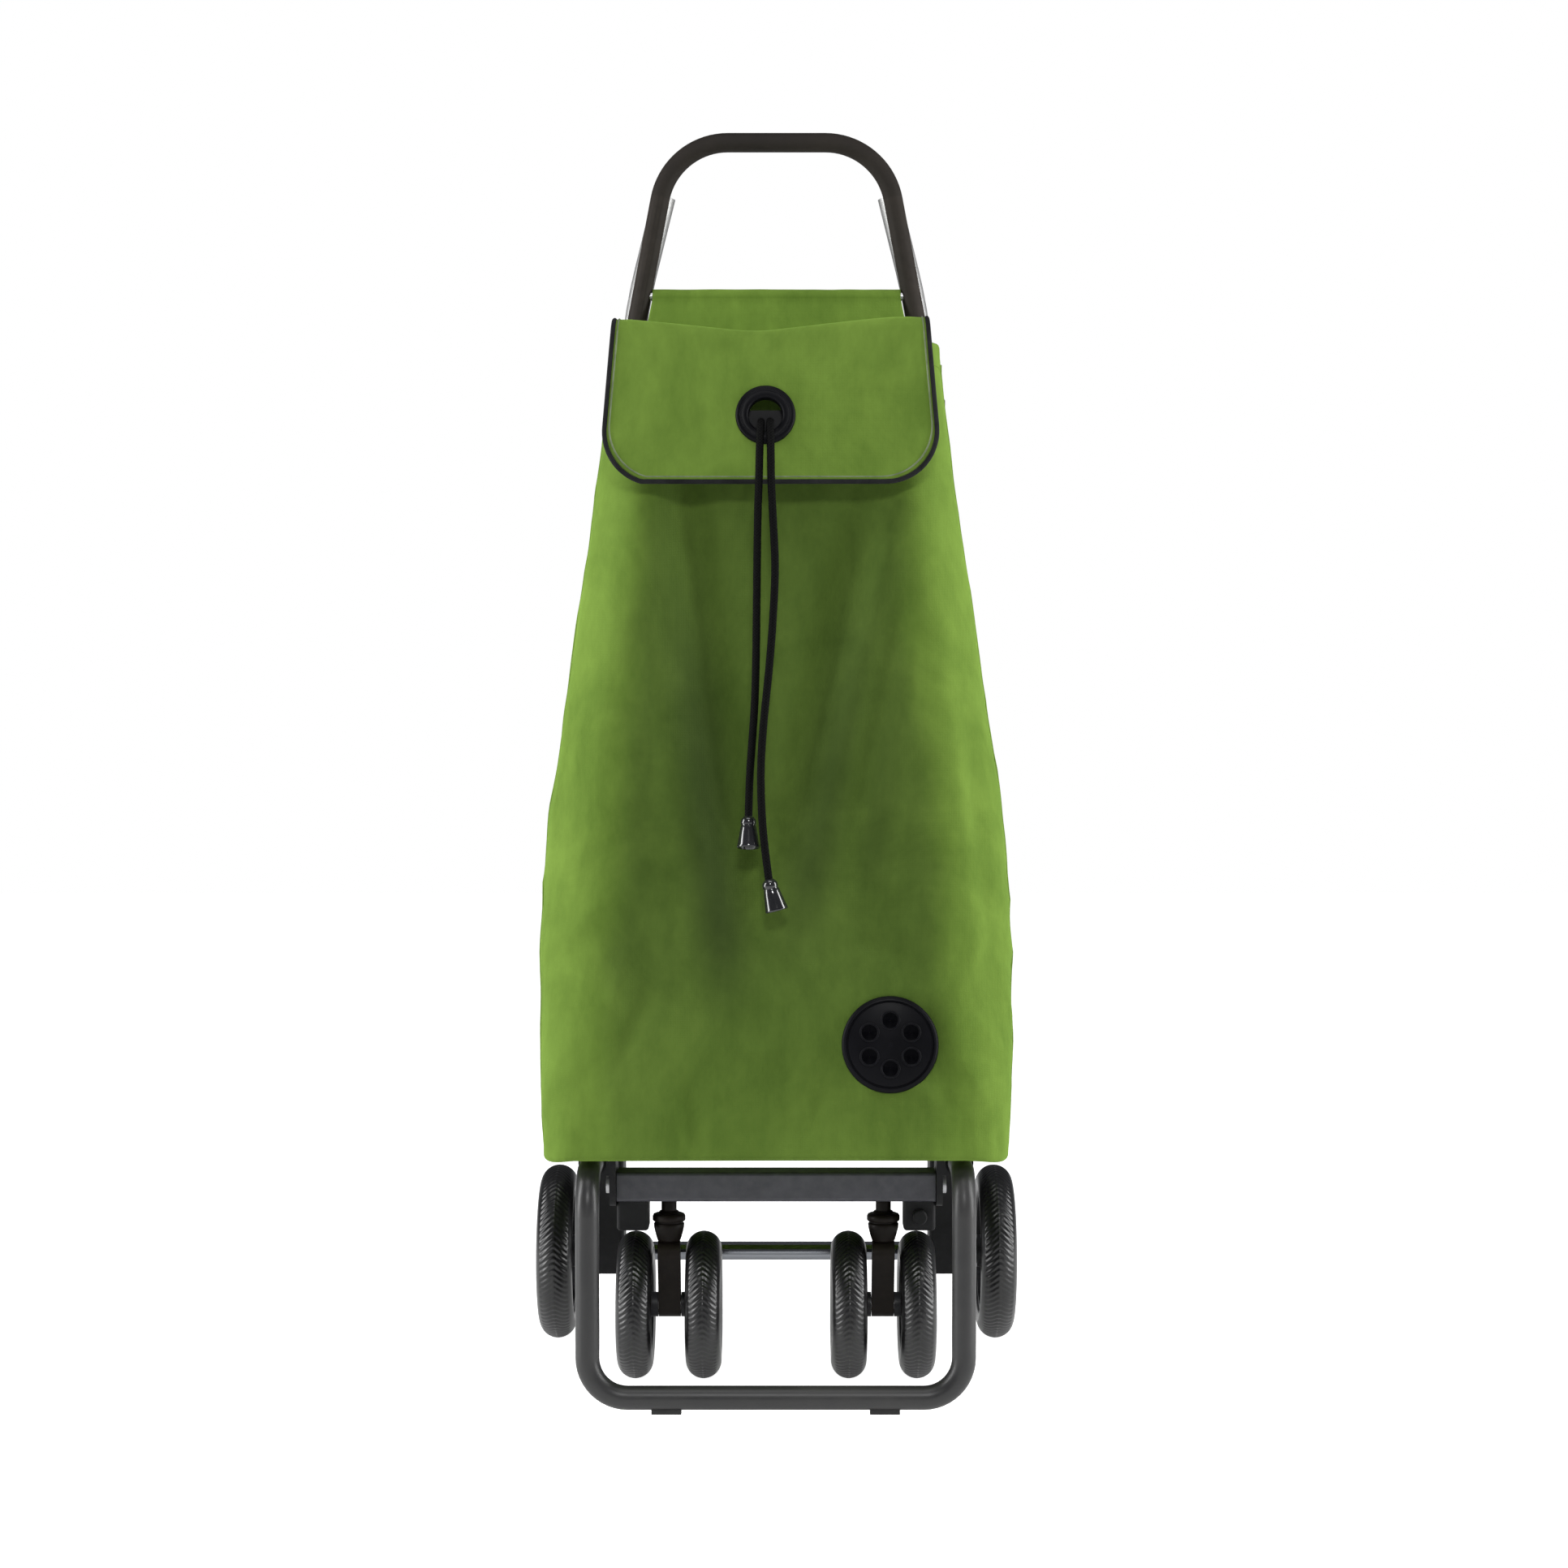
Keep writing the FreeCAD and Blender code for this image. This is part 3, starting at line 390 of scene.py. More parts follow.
def brushed_material(name, colour, rough, stretch):
    """Metal with streaks along the axis whose scale is smallest."""
    material, tree, shader = principled(name, rough, 1.0)
    streak_at = node(tree, "ShaderNodeMapping", {"Vector": object_point(tree), "Scale": stretch})
    streak = cloudy(tree, streak_at.outputs["Vector"], 260.0, 4.0)
    tone = blended(tree, streak, [c * 0.82 for c in colour], colour)
    spread = ranged(tree, streak, 0.0, 1.0, rough * 0.8, rough * 1.4)
    dress(tree, shader, tone, streak, 0.06, roughness=spread)
    return material


def tyre_material(name, wear):
    """Grey-black rubber, paler where it is rubbed."""
    material, tree, shader = principled(name, 0.4, Specular_IOR_Level=0.6)
    at = object_point(tree)
    dust = cloudy(tree, at, 45.0, 8.0, 0.7)
    tone = blended(tree, dust, (0.003, 0.003, 0.0035), (0.010, 0.0095, 0.011))
    rubbed = blended(tree, group_node(tree, wear)["Wear"], tone, (0.040, 0.039, 0.042))
    spread = ranged(tree, dust, 0.0, 1.0, 0.22, 0.4)
    dress(tree, shader, rubbed, cloudy(tree, at, 900.0), 0.15, roughness=spread)
    return material


def finishes():
    """Every material, by the record's slot name; the lining and the bag's body, with painted shade on its
    front, come beside them.
    """
    fabric = bpy.context.scene.trolley_fabric
    nap = brushed_nap_group()
    grain = moulded_grain_group()
    wear = edge_wear_group()
    shaded = (painted_front_shade_group(BagForm(fabric)), fabric.front_shade_tint)

    def cloth(name, low, high, scale, sheen, **more):
        return cloth_material(name, low, high, nap, scale, sheen, **more)

    def grained(name, low, high, rough, **more):
        return moulded_material(name, low, high, rough, grain, wear, **more)

    return {
        "bag_fabric": cloth("Green microfibre", fabric.dark, fabric.bright, 9.0, 0.3),
        # the bag's body carries painted shade on its front
        "bag_body": cloth("Microfibre with painted shade", fabric.dark, fabric.bright, 9.0, 0.3, shaded=shaded),
        "lining": cloth("Grey lining", (0.10, 0.105, 0.10), (0.17, 0.175, 0.165), 20.0, 0.1),
        "webbing": cloth("Black tape", (0.008, 0.008, 0.009), (0.022, 0.022, 0.024), 40.0, 0.12),
        "stitching": cloth("Grey thread", (0.13, 0.17, 0.09), (0.24, 0.29, 0.17), 60.0, 0.1),
        "frame_paint": grained("Frame powder coat", (0.018, 0.018, 0.019), (0.034, 0.033, 0.033),
                               (0.36, 0.5), grain=1100.0, Specular_IOR_Level=0.45, Coat_Weight=0.12,
                               Coat_Roughness=0.3),
        "axle_paint": brushed_material("Blackened steel", (0.30, 0.31, 0.34), 0.13, (0.04, 1.0, 1.0)),
        "upright_metal": brushed_material("Drawn aluminium", (0.46, 0.46, 0.455), 0.5, (1.0, 1.0, 0.04)),
        "handle_plastic": grained("Handle skin", (0.018, 0.015, 0.013), (0.030, 0.025, 0.021), (0.6, 0.75),
                                  grain=850.0, strength=0.2, Specular_IOR_Level=0.15),
        "moulding": grained("Grained moulding", (0.036, 0.036, 0.045), (0.062, 0.061, 0.073), (0.42, 0.56),
                            grain=600.0, strength=0.2),
        "dark_moulding": grained("Black moulding", (0.006, 0.006, 0.007), (0.012, 0.012, 0.013), (0.45, 0.6),
                                 grain=600.0, strength=0.2, Specular_IOR_Level=0.2),
        "yoke_plastic": grained("Yoke nylon", (0.007, 0.005, 0.004), (0.013, 0.010, 0.008), (0.42, 0.56),
                                Specular_IOR_Level=0.15),
        "steel": brushed_material("Zinc plate", (0.60, 0.60, 0.62), 0.36, (1.0, 1.0, 1.0)),
        "tyre": tyre_material("Tyre rubber", wear),
        "rim_plastic": grained("Rim nylon", (0.010, 0.010, 0.012), (0.018, 0.018, 0.021), (0.4, 0.55),
                               Specular_IOR_Level=0.35),
        "pad_rubber": grained("Foot rubber", (0.008, 0.008, 0.008), (0.018, 0.018, 0.018), (0.65, 0.8)),
        "board": grained("Board sheet", (0.035, 0.035, 0.036), (0.06, 0.06, 0.06), (0.55, 0.7), strength=0.3),
        "trim_plastic": grained("Satin trim", (0.003, 0.003, 0.004), (0.006, 0.006, 0.008), (0.36, 0.5),
                                grain=900.0, strength=0.08, Specular_IOR_Level=0.08),
        "cord": braid_material("Braided cord", (0.004, 0.004, 0.004)),
        "bell_plastic": grained("Bell gloss", (0.012, 0.012, 0.014), (0.02, 0.02, 0.023), (0.1, 0.18),
                                strength=0.02, Coat_Weight=0.5, Coat_Roughness=0.08),
    }


# ---------------------------------------------------------------- mesh helpers
def placed(name, data):
    """A new object in the scene."""
    made = bpy.data.objects.new(name, data)
    bpy.context.scene.collection.objects.link(made)
    return made


def mesh_object(name, verts, faces, *materials):
    mesh = bpy.data.meshes.new(name)
    mesh.from_pydata(verts, [], faces)
    mesh.update()
    work = bmesh.new()
    work.from_mesh(mesh)
    bmesh.ops.recalc_face_normals(work, faces=work.faces)
    work.to_mesh(mesh)
    work.free()
    mesh.polygons.foreach_set("use_smooth", [True] * len(mesh.polygons))
    for material in materials:
        mesh.materials.append(bpy.data.materials[material])
    return placed(name, mesh)


def ring_faces(rows, count, closed_rows=False):
    """Quads between rows of count points each, every row a closed ring."""
    faces = []
    for r in range(rows if closed_rows else rows - 1):
        nxt = (r + 1) % rows
        for c in range(count):
            d = (c + 1) % count
            faces.append((r * count + c, r * count + d, nxt * count + d, nxt * count + c))
    return faces


def tube_faces(rows, count):
    """The rings' quads with a cap at both ends."""
    last = (rows - 1) * count
    return ring_faces(rows, count) + [tuple(range(count)), tuple(range(last, last + count))]


def grid_faces(rows, count):
    faces = []
    for r in range(rows - 1):
        for c in range(count - 1):
            a = r * count + c
            faces.append((a, a + 1, a + count + 1, a + count))
    return faces


def turn_to(axis):
    return Vector((0, 0, 1)).rotation_difference(Vector(axis)).to_matrix()


def lathe(name, profile, centre, axis, segments, material):
    """Spins a closed profile of (along, radius) points about an axis through centre."""
    turn = turn_to(axis)
    verts = []
    for height, radius in profile:
        for x, y in circle(segments):
            verts.append(Vector(centre) + turn @ Vector((radius * x, radius * y, height)))
    return mesh_object(name, verts, ring_faces(len(profile), segments, closed_rows=True), material)


def tube_along(name, points, radius, sides, material):
    """A closed round bead that follows a line of points."""
    verts = []
    ahead = (points[1] - points[0]).normalized()
    side = ahead.orthogonal().normalized()
    for i, point in enumerate(points):
        before = points[max(i - 1, 0)]
        after = points[min(i + 1, len(points) - 1)]
        turned = (after - before).normalized()
        side = ahead.rotation_difference(turned) @ side
        ahead = turned
        lift = side.cross(ahead).normalized()
        for x, y in circle(sides):
            verts.append(point + radius * (side * x + lift * y))
    return mesh_object(name, verts, tube_faces(len(points), sides), material)


def settle(piece, body, slot, *nodes):
    """Rides a finished piece on its body and hides what it stands for; slot is not used."""
    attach(piece, body)
    if nodes:
        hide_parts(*nodes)
    return piece


def crinkle(point, size, seed):
    """Smooth noise between -1 and 1 with features about size across."""
    return noise.noise(Vector(point) / size + Vector((seed, seed * 1.7, seed * 0.6)))


# ---------------------------------------------------------------- bag
# Lines in the bag's front, as (x, height over its floor) of both ends, in metres. The shade streaks are
# painted shade down the folds' valleys, with half width and strength. The folds have width, share of the
# depth setting, skew.
FRONT_SHADE_STREAKS = (
    ((-0.086, 0.545), (-0.034, 0.105), 0.034, 0.85),
    ((0.088, 0.530), (0.012, 0.150), 0.032, 0.6),
    ((0.096, 0.420), (0.072, 0.200), 0.022, 0.3),
)
FRONT_FOLDS = (
    ((-0.082, 0.545), (-0.030, 0.165), 0.019, 1.2, 1.0),
    ((0.076, 0.500), (0.010, 0.205), 0.019, 1.1, -1.0),
    ((-0.098, 0.470), (-0.060, 0.250), 0.013, 0.45, 0.6),
    ((0.100, 0.430), (0.058, 0.230), 0.014, 0.5, -0.7),
    ((-0.074, 0.062), (-0.062, -0.012), 0.010, 0.22, 0.9),
    ((0.036, 0.055), (0.020, -0.010), 0.008, 0.18, -0.9),
    ((0.004, 0.045), (0.010, -0.010), 0.007, 0.14, 0.9),
    ((0.060, 0.170), (0.104, 0.150), 0.010, 0.25, 0.8),
    ((-0.105, 0.135), (-0.132, 0.060), 0.011, 0.3, 0.8),
    ((0.120, 0.120), (0.142, 0.030), 0.011, 0.32, -0.8),
    ((0.150, 0.330), (0.166, 0.130), 0.009, 0.28, 0.9),
    ((-0.015, 0.210), (0.030, 0.160), 0.014, 0.24, 0.7),
)
BACK_CORNER = 26 * MM
WIDTH_BLEND = 14 * MM
MOUTH_DROOP = 4 * MM
FRONT_RIDGE = 2.2 * MM
GUSSET_PLEAT = 15 * MM
GUSSET_BELLY = 3 * MM
BACK_BOW = 1.5 * MM
SOFT_RIDGES = 1.7 * MM
FLOOR_PUCKER = 0.7 * MM
HEM_GATHER = 1.1 * MM


class BagForm:
    """The bag's outline at every height, from the box of its CAD panels."""

    def __init__(self, settings):
        _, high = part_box("front_panel")
        floor_low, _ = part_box("bag_floor")
        hem_low, hem_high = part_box("mouth_hem")
        self.settings = settings
        self.bottom = floor_low.z
        self.top = hem_high.z
        self.back = hem_high.y
        self.front_low = floor_low.y
        self.front_high = hem_low.y
        self.half_wide = high.x * 1.05
        self.half_top = hem_high.x
        wide = self.half_wide
        span = self.top - self.bottom
        shares = ((0, -floor_low.x), (0.09, wide - 1.5 * MM), (0.25, wide), (0.38, wide - 4 * MM),
                  (0.63, mix(wide, self.half_top, 0.45)), (0.84, mix(wide, self.half_top, 0.78)),
                  (1, self.half_top))
        self.widths = [(self.bottom + share * span, half) for share, half in shares]

    def half(self, z):
        return sum(along(self.widths, z + k * WIDTH_BLEND) for k in (-1, -0.5, 0, 0.5, 1)) / 5

    def front(self, z):
        return mix(self.front_low, self.front_high, self.rise(z))

    def rise(self, z):
        """0 at the bag's floor and 1 at its rim."""
        return (z - self.bottom) / (self.top - self.bottom)

    def corner_at(self, rise):
        s = self.settings
        return mix(s.corner_low, mix(s.corner, s.corner * 0.72, rise), smooth(0.0, 0.28, rise))

    def outline(self, z, inset):
        """[(x, y, nx, ny)] round the bag at a height: front, right, back, left."""
        half = self.half(z) - inset
        front = self.front(z) + inset
        back = self.back - inset
        front_r = self.corner_at(self.rise(z)) - inset
        back_r = BACK_CORNER - inset
        points = []

        def run(start, end, count, normal):
            for i in range(count):
                t = i / count
                points.append((mix(start[0], end[0], t), mix(start[1], end[1], t), *normal))

        def turn(cx, cy, radius, start_deg, count):
            for i in range(count):
                a = math.radians(start_deg + 90 * i / count)
                nx, ny = math.cos(a), math.sin(a)
                points.append((cx + radius * nx, cy + radius * ny, nx, ny))

        run((-half + front_r, front), (half - front_r, front), 72, (0, -1))
        turn(half - front_r, front + front_r, front_r, -90, 20)
        run((half, front + front_r), (half, back - back_r), 36, (1, 0))
        turn(half - back_r, back - back_r, back_r, 0, 10)
        run((half - back_r, back), (-half + back_r, back), 50, (0, 1))
        turn(-half + back_r, back - back_r, back_r, 90, 10)
        run((-half, back - back_r), (-half, front + front_r), 36, (-1, 0))
        turn(-half + front_r, front + front_r, front_r, 180, 20)
        return points

    def crease(self, x, z, start, end, width, depth, skew):
        """One soft fold along a line from start to end, both (x, z)."""
        line = Vector((end[0] - start[0], end[1] - start[1]))
        at = Vector((x - start[0], z - start[1]))
        t = at.dot(line) / line.length_squared
        away = (at.x * line.y - at.y * line.x) / line.length / width
        fade = smooth(-0.18, 0.18, t) * (1 - smooth(0.72, 1.12, t))
        return fade * depth * (-math.exp(-away * away) + skew * away * math.exp(-away * away * 0.7))

    def droop(self, x, y, z):
        """How far the floor's corners and the mouth's front corners hang down."""
        side = smooth(0.82, 1.0, abs(x) / self.half(z))
        low = side * (1 - smooth(0.0, 0.06, z - self.bottom))
        off_back = 1 - smooth(self.back - 70 * MM, self.back, y)
        mouth = side * off_back * smooth(0.80, 1.0, self.rise(z))
        return self.settings.droop * low + MOUTH_DROOP * mouth

    def puff(self, x, y, z, nx, ny):
        """How far the cloth stands out of the plain outline here, along the outline's normal."""
        s = self.settings
        rise = self.rise(z)
        half = self.half(z)
        face = max(0.0, -ny)
        side = abs(nx)
        back = max(0.0, ny)
        across = clamp(abs(x) / (0.72 * half))
        hollow = smooth(0.05, 0.45, rise) * (1 - 0.35 * smooth(0.86, 1.0, rise))
        out = -s.hollow * hollow * math.cos(across * math.pi / 2) ** 2 * face
        b = self.bottom
        for (x0, z0), (x1, z1), width, share, skew in FRONT_FOLDS:
            fold = self.crease(x, z, (x0, b + z0), (x1, b + z1), width, share * s.fold_depth, skew)
            out += face * fold
        ridge = math.exp(-((abs(x) - 0.80 * half) / 0.014) ** 2) * smooth(0.3, 0.55, rise)
        out += face * FRONT_RIDGE * ridge * (1 - smooth(0.84, 0.95, rise))
        # the gussets tuck in towards the mouth, and the back bows a little
        middle = (self.front(z) + self.back) / 2 + 10 * MM
        pleat = math.exp(-((y - middle) / 0.030) ** 2)
        out -= side * GUSSET_PLEAT * pleat * smooth(0.52, 0.96, rise)
        belly = smooth(0.0, 0.12, rise) * (1 - smooth(0.25, 0.6, rise))
        out += side * GUSSET_BELLY * belly * math.cos(clamp((y - middle) / 0.13, -1, 1) * math.pi / 2)
        out += back * BACK_BOW * math.sin(math.pi * clamp(rise)) * (1 - clamp(abs(x) / half) ** 2)
        wide = crinkle((x, y, z), 0.085, 3.1)
        small = crinkle((x, y, z * 0.8), 0.034, 7.7)
        tiny = crinkle((x, y, z), 0.013, 1.9)
        low_part = 1 - 0.6 * smooth(0.15, 0.6, rise)
        ridges = (1 - min(1.0, abs(crinkle((x * 1.2, y, z), 0.062, 12.3)) * 2.6)) ** 2
        out += (1.5 * wide + 0.9 * small * low_part + 0.22 * tiny) * MM
        out += SOFT_RIDGES * ridges * low_part * smooth(0.02, 0.1, rise) * (1 - back)
        # puckers just over the floor seam, and gathers in the hem
        round_the_bag = x * 1.3 + y * 1.1
        pucker = math.exp(-((z - b - 0.012) / 0.012) ** 2)
        out += FLOOR_PUCKER * pucker * math.sin(round_the_bag * 260 + 3 * wide)
        gather = smooth(0.955, 0.985, rise)
        out += HEM_GATHER * gather * math.sin((x * 1.1 - y) * 330 + 2.5 * small)
        return out

    def cloth(self, x, y, z, nx, ny, looseness=1.0, lift=0.0):
        """Where a point of the plain outline lies in the sagging cloth."""
        out = self.puff(x, y, z, nx, ny) * looseness + lift
        return Vector((x + nx * out, y + ny * out, z - self.droop(x, y, z)))


def build_bag():
    s = bpy.context.scene.trolley_fabric
    form = BagForm(s)
    span = form.top - form.bottom
    heel = s.heel
    steps = 132
    # rows of height, inset and looseness: the rounded heel, then the wall up to the rim
    rows = []
    for i in range(6):
        a = math.radians(90 * i / 6)
        rows.append((form.bottom + heel * (1 - math.cos(a)), heel * (1 - math.sin(a)), 0.2 * i / 6))
    for i in range(steps + 1):
        z = form.bottom + heel + (span - heel - 2.5 * MM) * i / steps
        rows.append((z, 0.0, smooth(0, 0.03, i / steps) * 0.8 + 0.2))
    outer_rows = len(rows)
    # over the rim and down the lining to the board
    for drop, inset in in_metres((0.8, 0.6), (0, 1.6), (0.8, 2.6)):
        rows.append((form.top - drop, inset, 1.0))
    _, board_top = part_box("base_board")
    floor = board_top.z + 0.6 * MM
    inner = 44
    for i in range(inner + 1):
        rows.append((mix(form.top - 3 * MM, floor, i / inner), s.wall + 0.2 * MM, 1.0))
    verts = []
    for z, inset, looseness in rows:
        for x, y, nx, ny in form.outline(max(z, form.bottom), inset):
            verts.append(form.cloth(x, y, z, nx, ny, looseness))
    count = len(verts) // len(rows)
    bag = mesh_object("bag_cloth", verts, tube_faces(len(rows), count), "Microfibre with painted shade", "Grey lining")
    lining_from = (outer_rows + 6) * count
    for polygon in bag.data.polygons:
        if min(polygon.vertices) >= lining_from:
            polygon.material_index = 1
    settle(bag, "root", "bag_fabric", *BAG_PANELS)
    build_bag_seams(form)


def build_bag_seams(form):
    """Corded seams up the four corners, and a stitch line under the hem."""
    lines = {}
    steps = 90
    for facing in ("front", "back"):
        for side_name, side in SIDES:
            points = []
            for i in range(steps + 1):
                z = mix(form.bottom + 11 * MM, form.top - 16 * MM, i / steps)
                if facing == "front":
                    y = form.front(z) + form.corner_at(form.rise(z)) + 4 * MM
                    at = (side * form.half(z), y, z, side, 0)
                else:
                    at = (side * (form.half(z) - BACK_CORNER - 1 * MM), form.back, z, 0, 1)
                points.append(form.cloth(*at, lift=0.1 * MM))
            lines[f"seam_{facing}_{side_name}"] = (points, 0.9 * MM, 8)
    z = form.top - 20 * MM
    hem = [form.cloth(x, y, z, nx, ny, lift=0.05 * MM) for x, y, nx, ny in form.outline(z, 0.0)]
    lines["stitch_hem"] = (hem + hem[:1], 0.45 * MM, 6)
    for name, (points, radius, sides) in lines.items():
        seam = tube_along(name, points, radius, sides, "Microfibre with painted shade")
        settle(seam, "root", "bag_fabric")


class TROLLEY_OT_bag(bpy.types.Operator):
    """Builds the sagging cloth bag with its lining, seams and hem"""
    bl_idname = "trolley.bag"
    bl_label = "Build bag"

    def execute(self, context):
        build_bag()
        return {"FINISHED"}


# ---------------------------------------------------------------- flap
FLAP_LEAN = math.radians(10.2)
FLAP_CLOTH = 2.6 * MM
FLAP_CORNER = 44 * MM
FLAP_FLARE = 10.2 * MM
FLAP_TAPER = 8 * MM
EYE_HOLE = 14.6 * MM
EYE_FLAT = 30 * MM
CORD_PULL = 1.5 * MM


class FlapForm:
    """The flap's section from its hinge over the fold to its lower edge, and its outline."""

    def __init__(self, settings):
        _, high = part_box("flap_panel")
        pipe_low, pipe_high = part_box("flap_piping")
        eye_low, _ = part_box("eyelet")
        eye_x, _, eye_z = box_centre("eyelet")
        self.settings = settings
        self.middle = (pipe_low.x + pipe_high.x) / 2
        self.half_low = (pipe_high.x - pipe_low.x) / 2 + 3.2 * MM
        self.half_fold = self.half_low - FLAP_FLARE
        self.half_rear = self.half_fold - FLAP_TAPER
        self.hinge = Vector((0, high.y - 1.5 * MM, high.z - 1.5 * MM))
        self.fold_z = pipe_high.z
        self.bottom_z = pipe_low.z
        self.lean = math.tan(FLAP_LEAN)
        self.fold_y = eye_low.y + 6.5 * MM + self.lean * (self.fold_z - eye_z)
        self.eye = Vector((eye_x, 0, eye_z))

    def skirt_y(self, z):
        return self.fold_y - self.lean * (self.fold_z - z)

    def half_at(self, drop, inset):
        """Half width at a distance below the fold."""
        length = self.fold_z - self.bottom_z - inset
        side = mix(self.half_fold, self.half_low, clamp(drop / length)) - inset
        below = drop - (length - FLAP_CORNER)
        if below <= 0:
            return side
        return side - FLAP_CORNER + math.sqrt(max(FLAP_CORNER ** 2 - below ** 2, 0.0))

    def sag_at(self, t):
        """How far the fold is under its straight line: a shallow V, lower at its left end."""
        dip = clamp(1.12 - math.hypot((t + 0.1) / 0.82, 0.14)) ** 1.2
        return self.settings.sag * dip + 1.6 * MM * (0.5 - 0.5 * t)

    def place(self, s, t, inset=0.0):
        """A point of the middle surface: s is 0 at the hinge, 1 at the fold and 2 at the lower edge."""
        fold_z = self.fold_z - self.sag_at(t)
        r = self.settings.fold_radius
        if s <= 1:
            half = mix(self.half_rear, self.half_fold, s) - inset
            x = self.middle + t * half
            y = mix(self.hinge.y, self.fold_y + r, s)
            sink = self.sag_at(t) * (0.55 * math.sin(math.pi * s * 0.62) + 0.18 * s)
            z = mix(self.hinge.z, self.fold_z, s) - sink * smooth(0, 0.5, s) - 0.6 * MM * s
            z = mix(z, fold_z, smooth(0.55, 1.0, s))
            z += 1.0 * MM * crinkle((x, y, 0.3), 0.05, 2.2) * math.sin(math.pi * s)
            return Vector((x, y, z))
        drop_all = fold_z - self.bottom_z - inset
        u = s - 1
        drop = drop_all * u
        half = self.half_at(drop + self.sag_at(t) * (1 - u), inset)
        x = self.middle + t * half
        z = fold_z - drop
        bend = max(0.0, 1 - drop / r)
        y = self.skirt_y(z) + r * (1 - math.sqrt(max(0.0, 1 - bend ** 2)))
        near_eye = math.exp(-((x - self.eye.x) ** 2 + (z - self.eye.z) ** 2) / EYE_FLAT ** 2)
        ripple = 1.3 * MM * crinkle((x, 0.1, z), 0.06, 5.5) + 0.5 * MM * crinkle((x, 0.2, z), 0.022, 9.5)
        y += ripple * (1 - near_eye) * smooth(0.0, 0.25, u)
        pull = math.exp(-((x - self.eye.x) / 0.035) ** 2) * smooth(0.72, 1.0, u)
        y += CORD_PULL * pull
        return Vector((x, y, z))

    def corner_rows(self):
        """The s values of the rows, closer together round the lower corners."""
        rows = [i / 40 for i in range(40)]
        rows += [1 + 0.12 * i / 12 for i in range(12)]
        length = self.fold_z - self.bottom_z
        start = 1 - FLAP_CORNER / length
        rows += [1.12 + (start - 0.12) * i / 34 for i in range(34)]
        for i in range(25):
            rows.append(1 + start + (1 - start) * math.sin(math.radians(90 * i / 24)))
        return rows


def build_flap():
    s = bpy.context.scene.trolley_flap
    form = FlapForm(s)
    columns = 96
    wide = columns + 1
    rows = form.corner_rows()
    edge = s.piping / 2 + 0.2 * MM
    sheet = [form.place(row, mix(-1, 1, c / columns), edge) for row in rows for c in range(wide)]
    normals = []
    for r in range(len(rows)):
        for c in range(wide):
            left = sheet[r * wide + max(c - 1, 0)]
            right = sheet[r * wide + min(c + 1, columns)]
            above = sheet[max(r - 1, 0) * wide + c]
            below = sheet[min(r + 1, len(rows) - 1) * wide + c]
            normal = (right - left).cross(below - above)
            normals.append(normal.normalized() if normal.length > 1e-12 else Vector((0, -1, 0)))
    # a padded section: both faces swell a little away from the piped edge
    front = []
    rear = []
    for i, (point, normal) in enumerate(zip(sheet, normals)):
        r, c = divmod(i, wide)
        rim = min(c, columns - c) / 5
        if rows[r] > 1:
            rim = min(rim, (len(rows) - 1 - r) / 5)
        swell = mix(0.25, 0.5, smooth(0, 1, rim))
        away = (point - Vector((form.eye.x, point.y, form.eye.z))).length
        near = 1 - smooth(0.020, 0.030, away) if rows[r] > 1.1 else 0
        half = FLAP_CLOTH * mix(swell, 0.5, near)
        front.append(point + normal * half * -1)
        rear.append(point + normal * half)
    verts = front + rear
    size = len(front)

    def in_eye(face):
        centre = sum((front[v] for v in face), Vector()) / 4
        flat = Vector((centre.x - form.eye.x, centre.z - form.eye.z))
        return flat.length < EYE_HOLE and centre.z < form.fold_z - 30 * MM

    kept = [q for q in grid_faces(len(rows), wide) if not in_eye(q)]
    faces = kept + [tuple(v + size for v in reversed(q)) for q in kept]
    # an edge that only one quad has is on the border, and is closed between the two faces
    border = {}
    for q in kept:
        for a, b in zip(q, q[1:] + q[:1]):
            if (b, a) in border:
                del border[(b, a)]
            else:
                border[(a, b)] = True
    faces += [(b, a, a + size, b + size) for a, b in border]
    flap = mesh_object("flap_cloth", verts, faces, "Green microfibre")
    hinge = form.hinge
    ends = ((0, hinge.y + 1.5 * MM, hinge.z), (0, hinge.y - 16 * MM, hinge.z))
    blend_on(flap, ends, "bag_fabric", "flap_panel")
    edging = build_flap_edge(form, rows, ends)


def blend_on(piece, ends, slot, *nodes):
    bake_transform(piece)
    if nodes:
        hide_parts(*nodes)


def build_flap_edge(form, rows, ends):
    """The black piping round the flap, and the pale stitch line inside it."""

    def border(inset):
        left = [form.place(row, -1, inset) for row in rows]
        right = [form.place(row, 1, inset) for row in reversed(rows)]
        span = (right[0] - left[-1]).length
        steps = max(2, round(span / (5 * MM)))
        lower = [form.place(rows[-1], mix(-1, 1, i / steps), inset) for i in range(1, steps)]
        return left + lower + right

    radius = form.settings.piping / 2
    piping = tube_along("flap_piping_bead", border(radius * 0.4), radius, 14, "Black tape")
    blend_on(piping, ends, "webbing", "flap_piping")
    off_skirt = Vector((0, -0.8 * MM, 0.2 * MM))
    off_top = Vector((0, 0, 0.8 * MM))
    lifted = []
    for point in border(2 * radius + 0.6 * MM):
        lifted.append(point + (off_skirt if point.z < form.fold_z - 12 * MM else off_top))
    stitch = tube_along("flap_stitching", lifted, 0.75 * MM, 8, "Grey thread")
    blend_on(stitch, ends, "webbing")
    return [piping, stitch]


class TROLLEY_OT_flap(bpy.types.Operator):
    """Builds the padded flap with its piping and stitch line"""
    bl_idname = "trolley.flap"
    bl_label = "Build flap"

    def execute(self, context):
        build_flap()
        return {"FINISHED"}


# ---------------------------------------------------------------- hanger sleeve
SLEEVE_CLOTH = 0.9 * MM
SLEEVE_GAP = 0.4 * MM
SLEEVE_TAIL = 3 * MM
SLEEVE_FLARE = 0.19


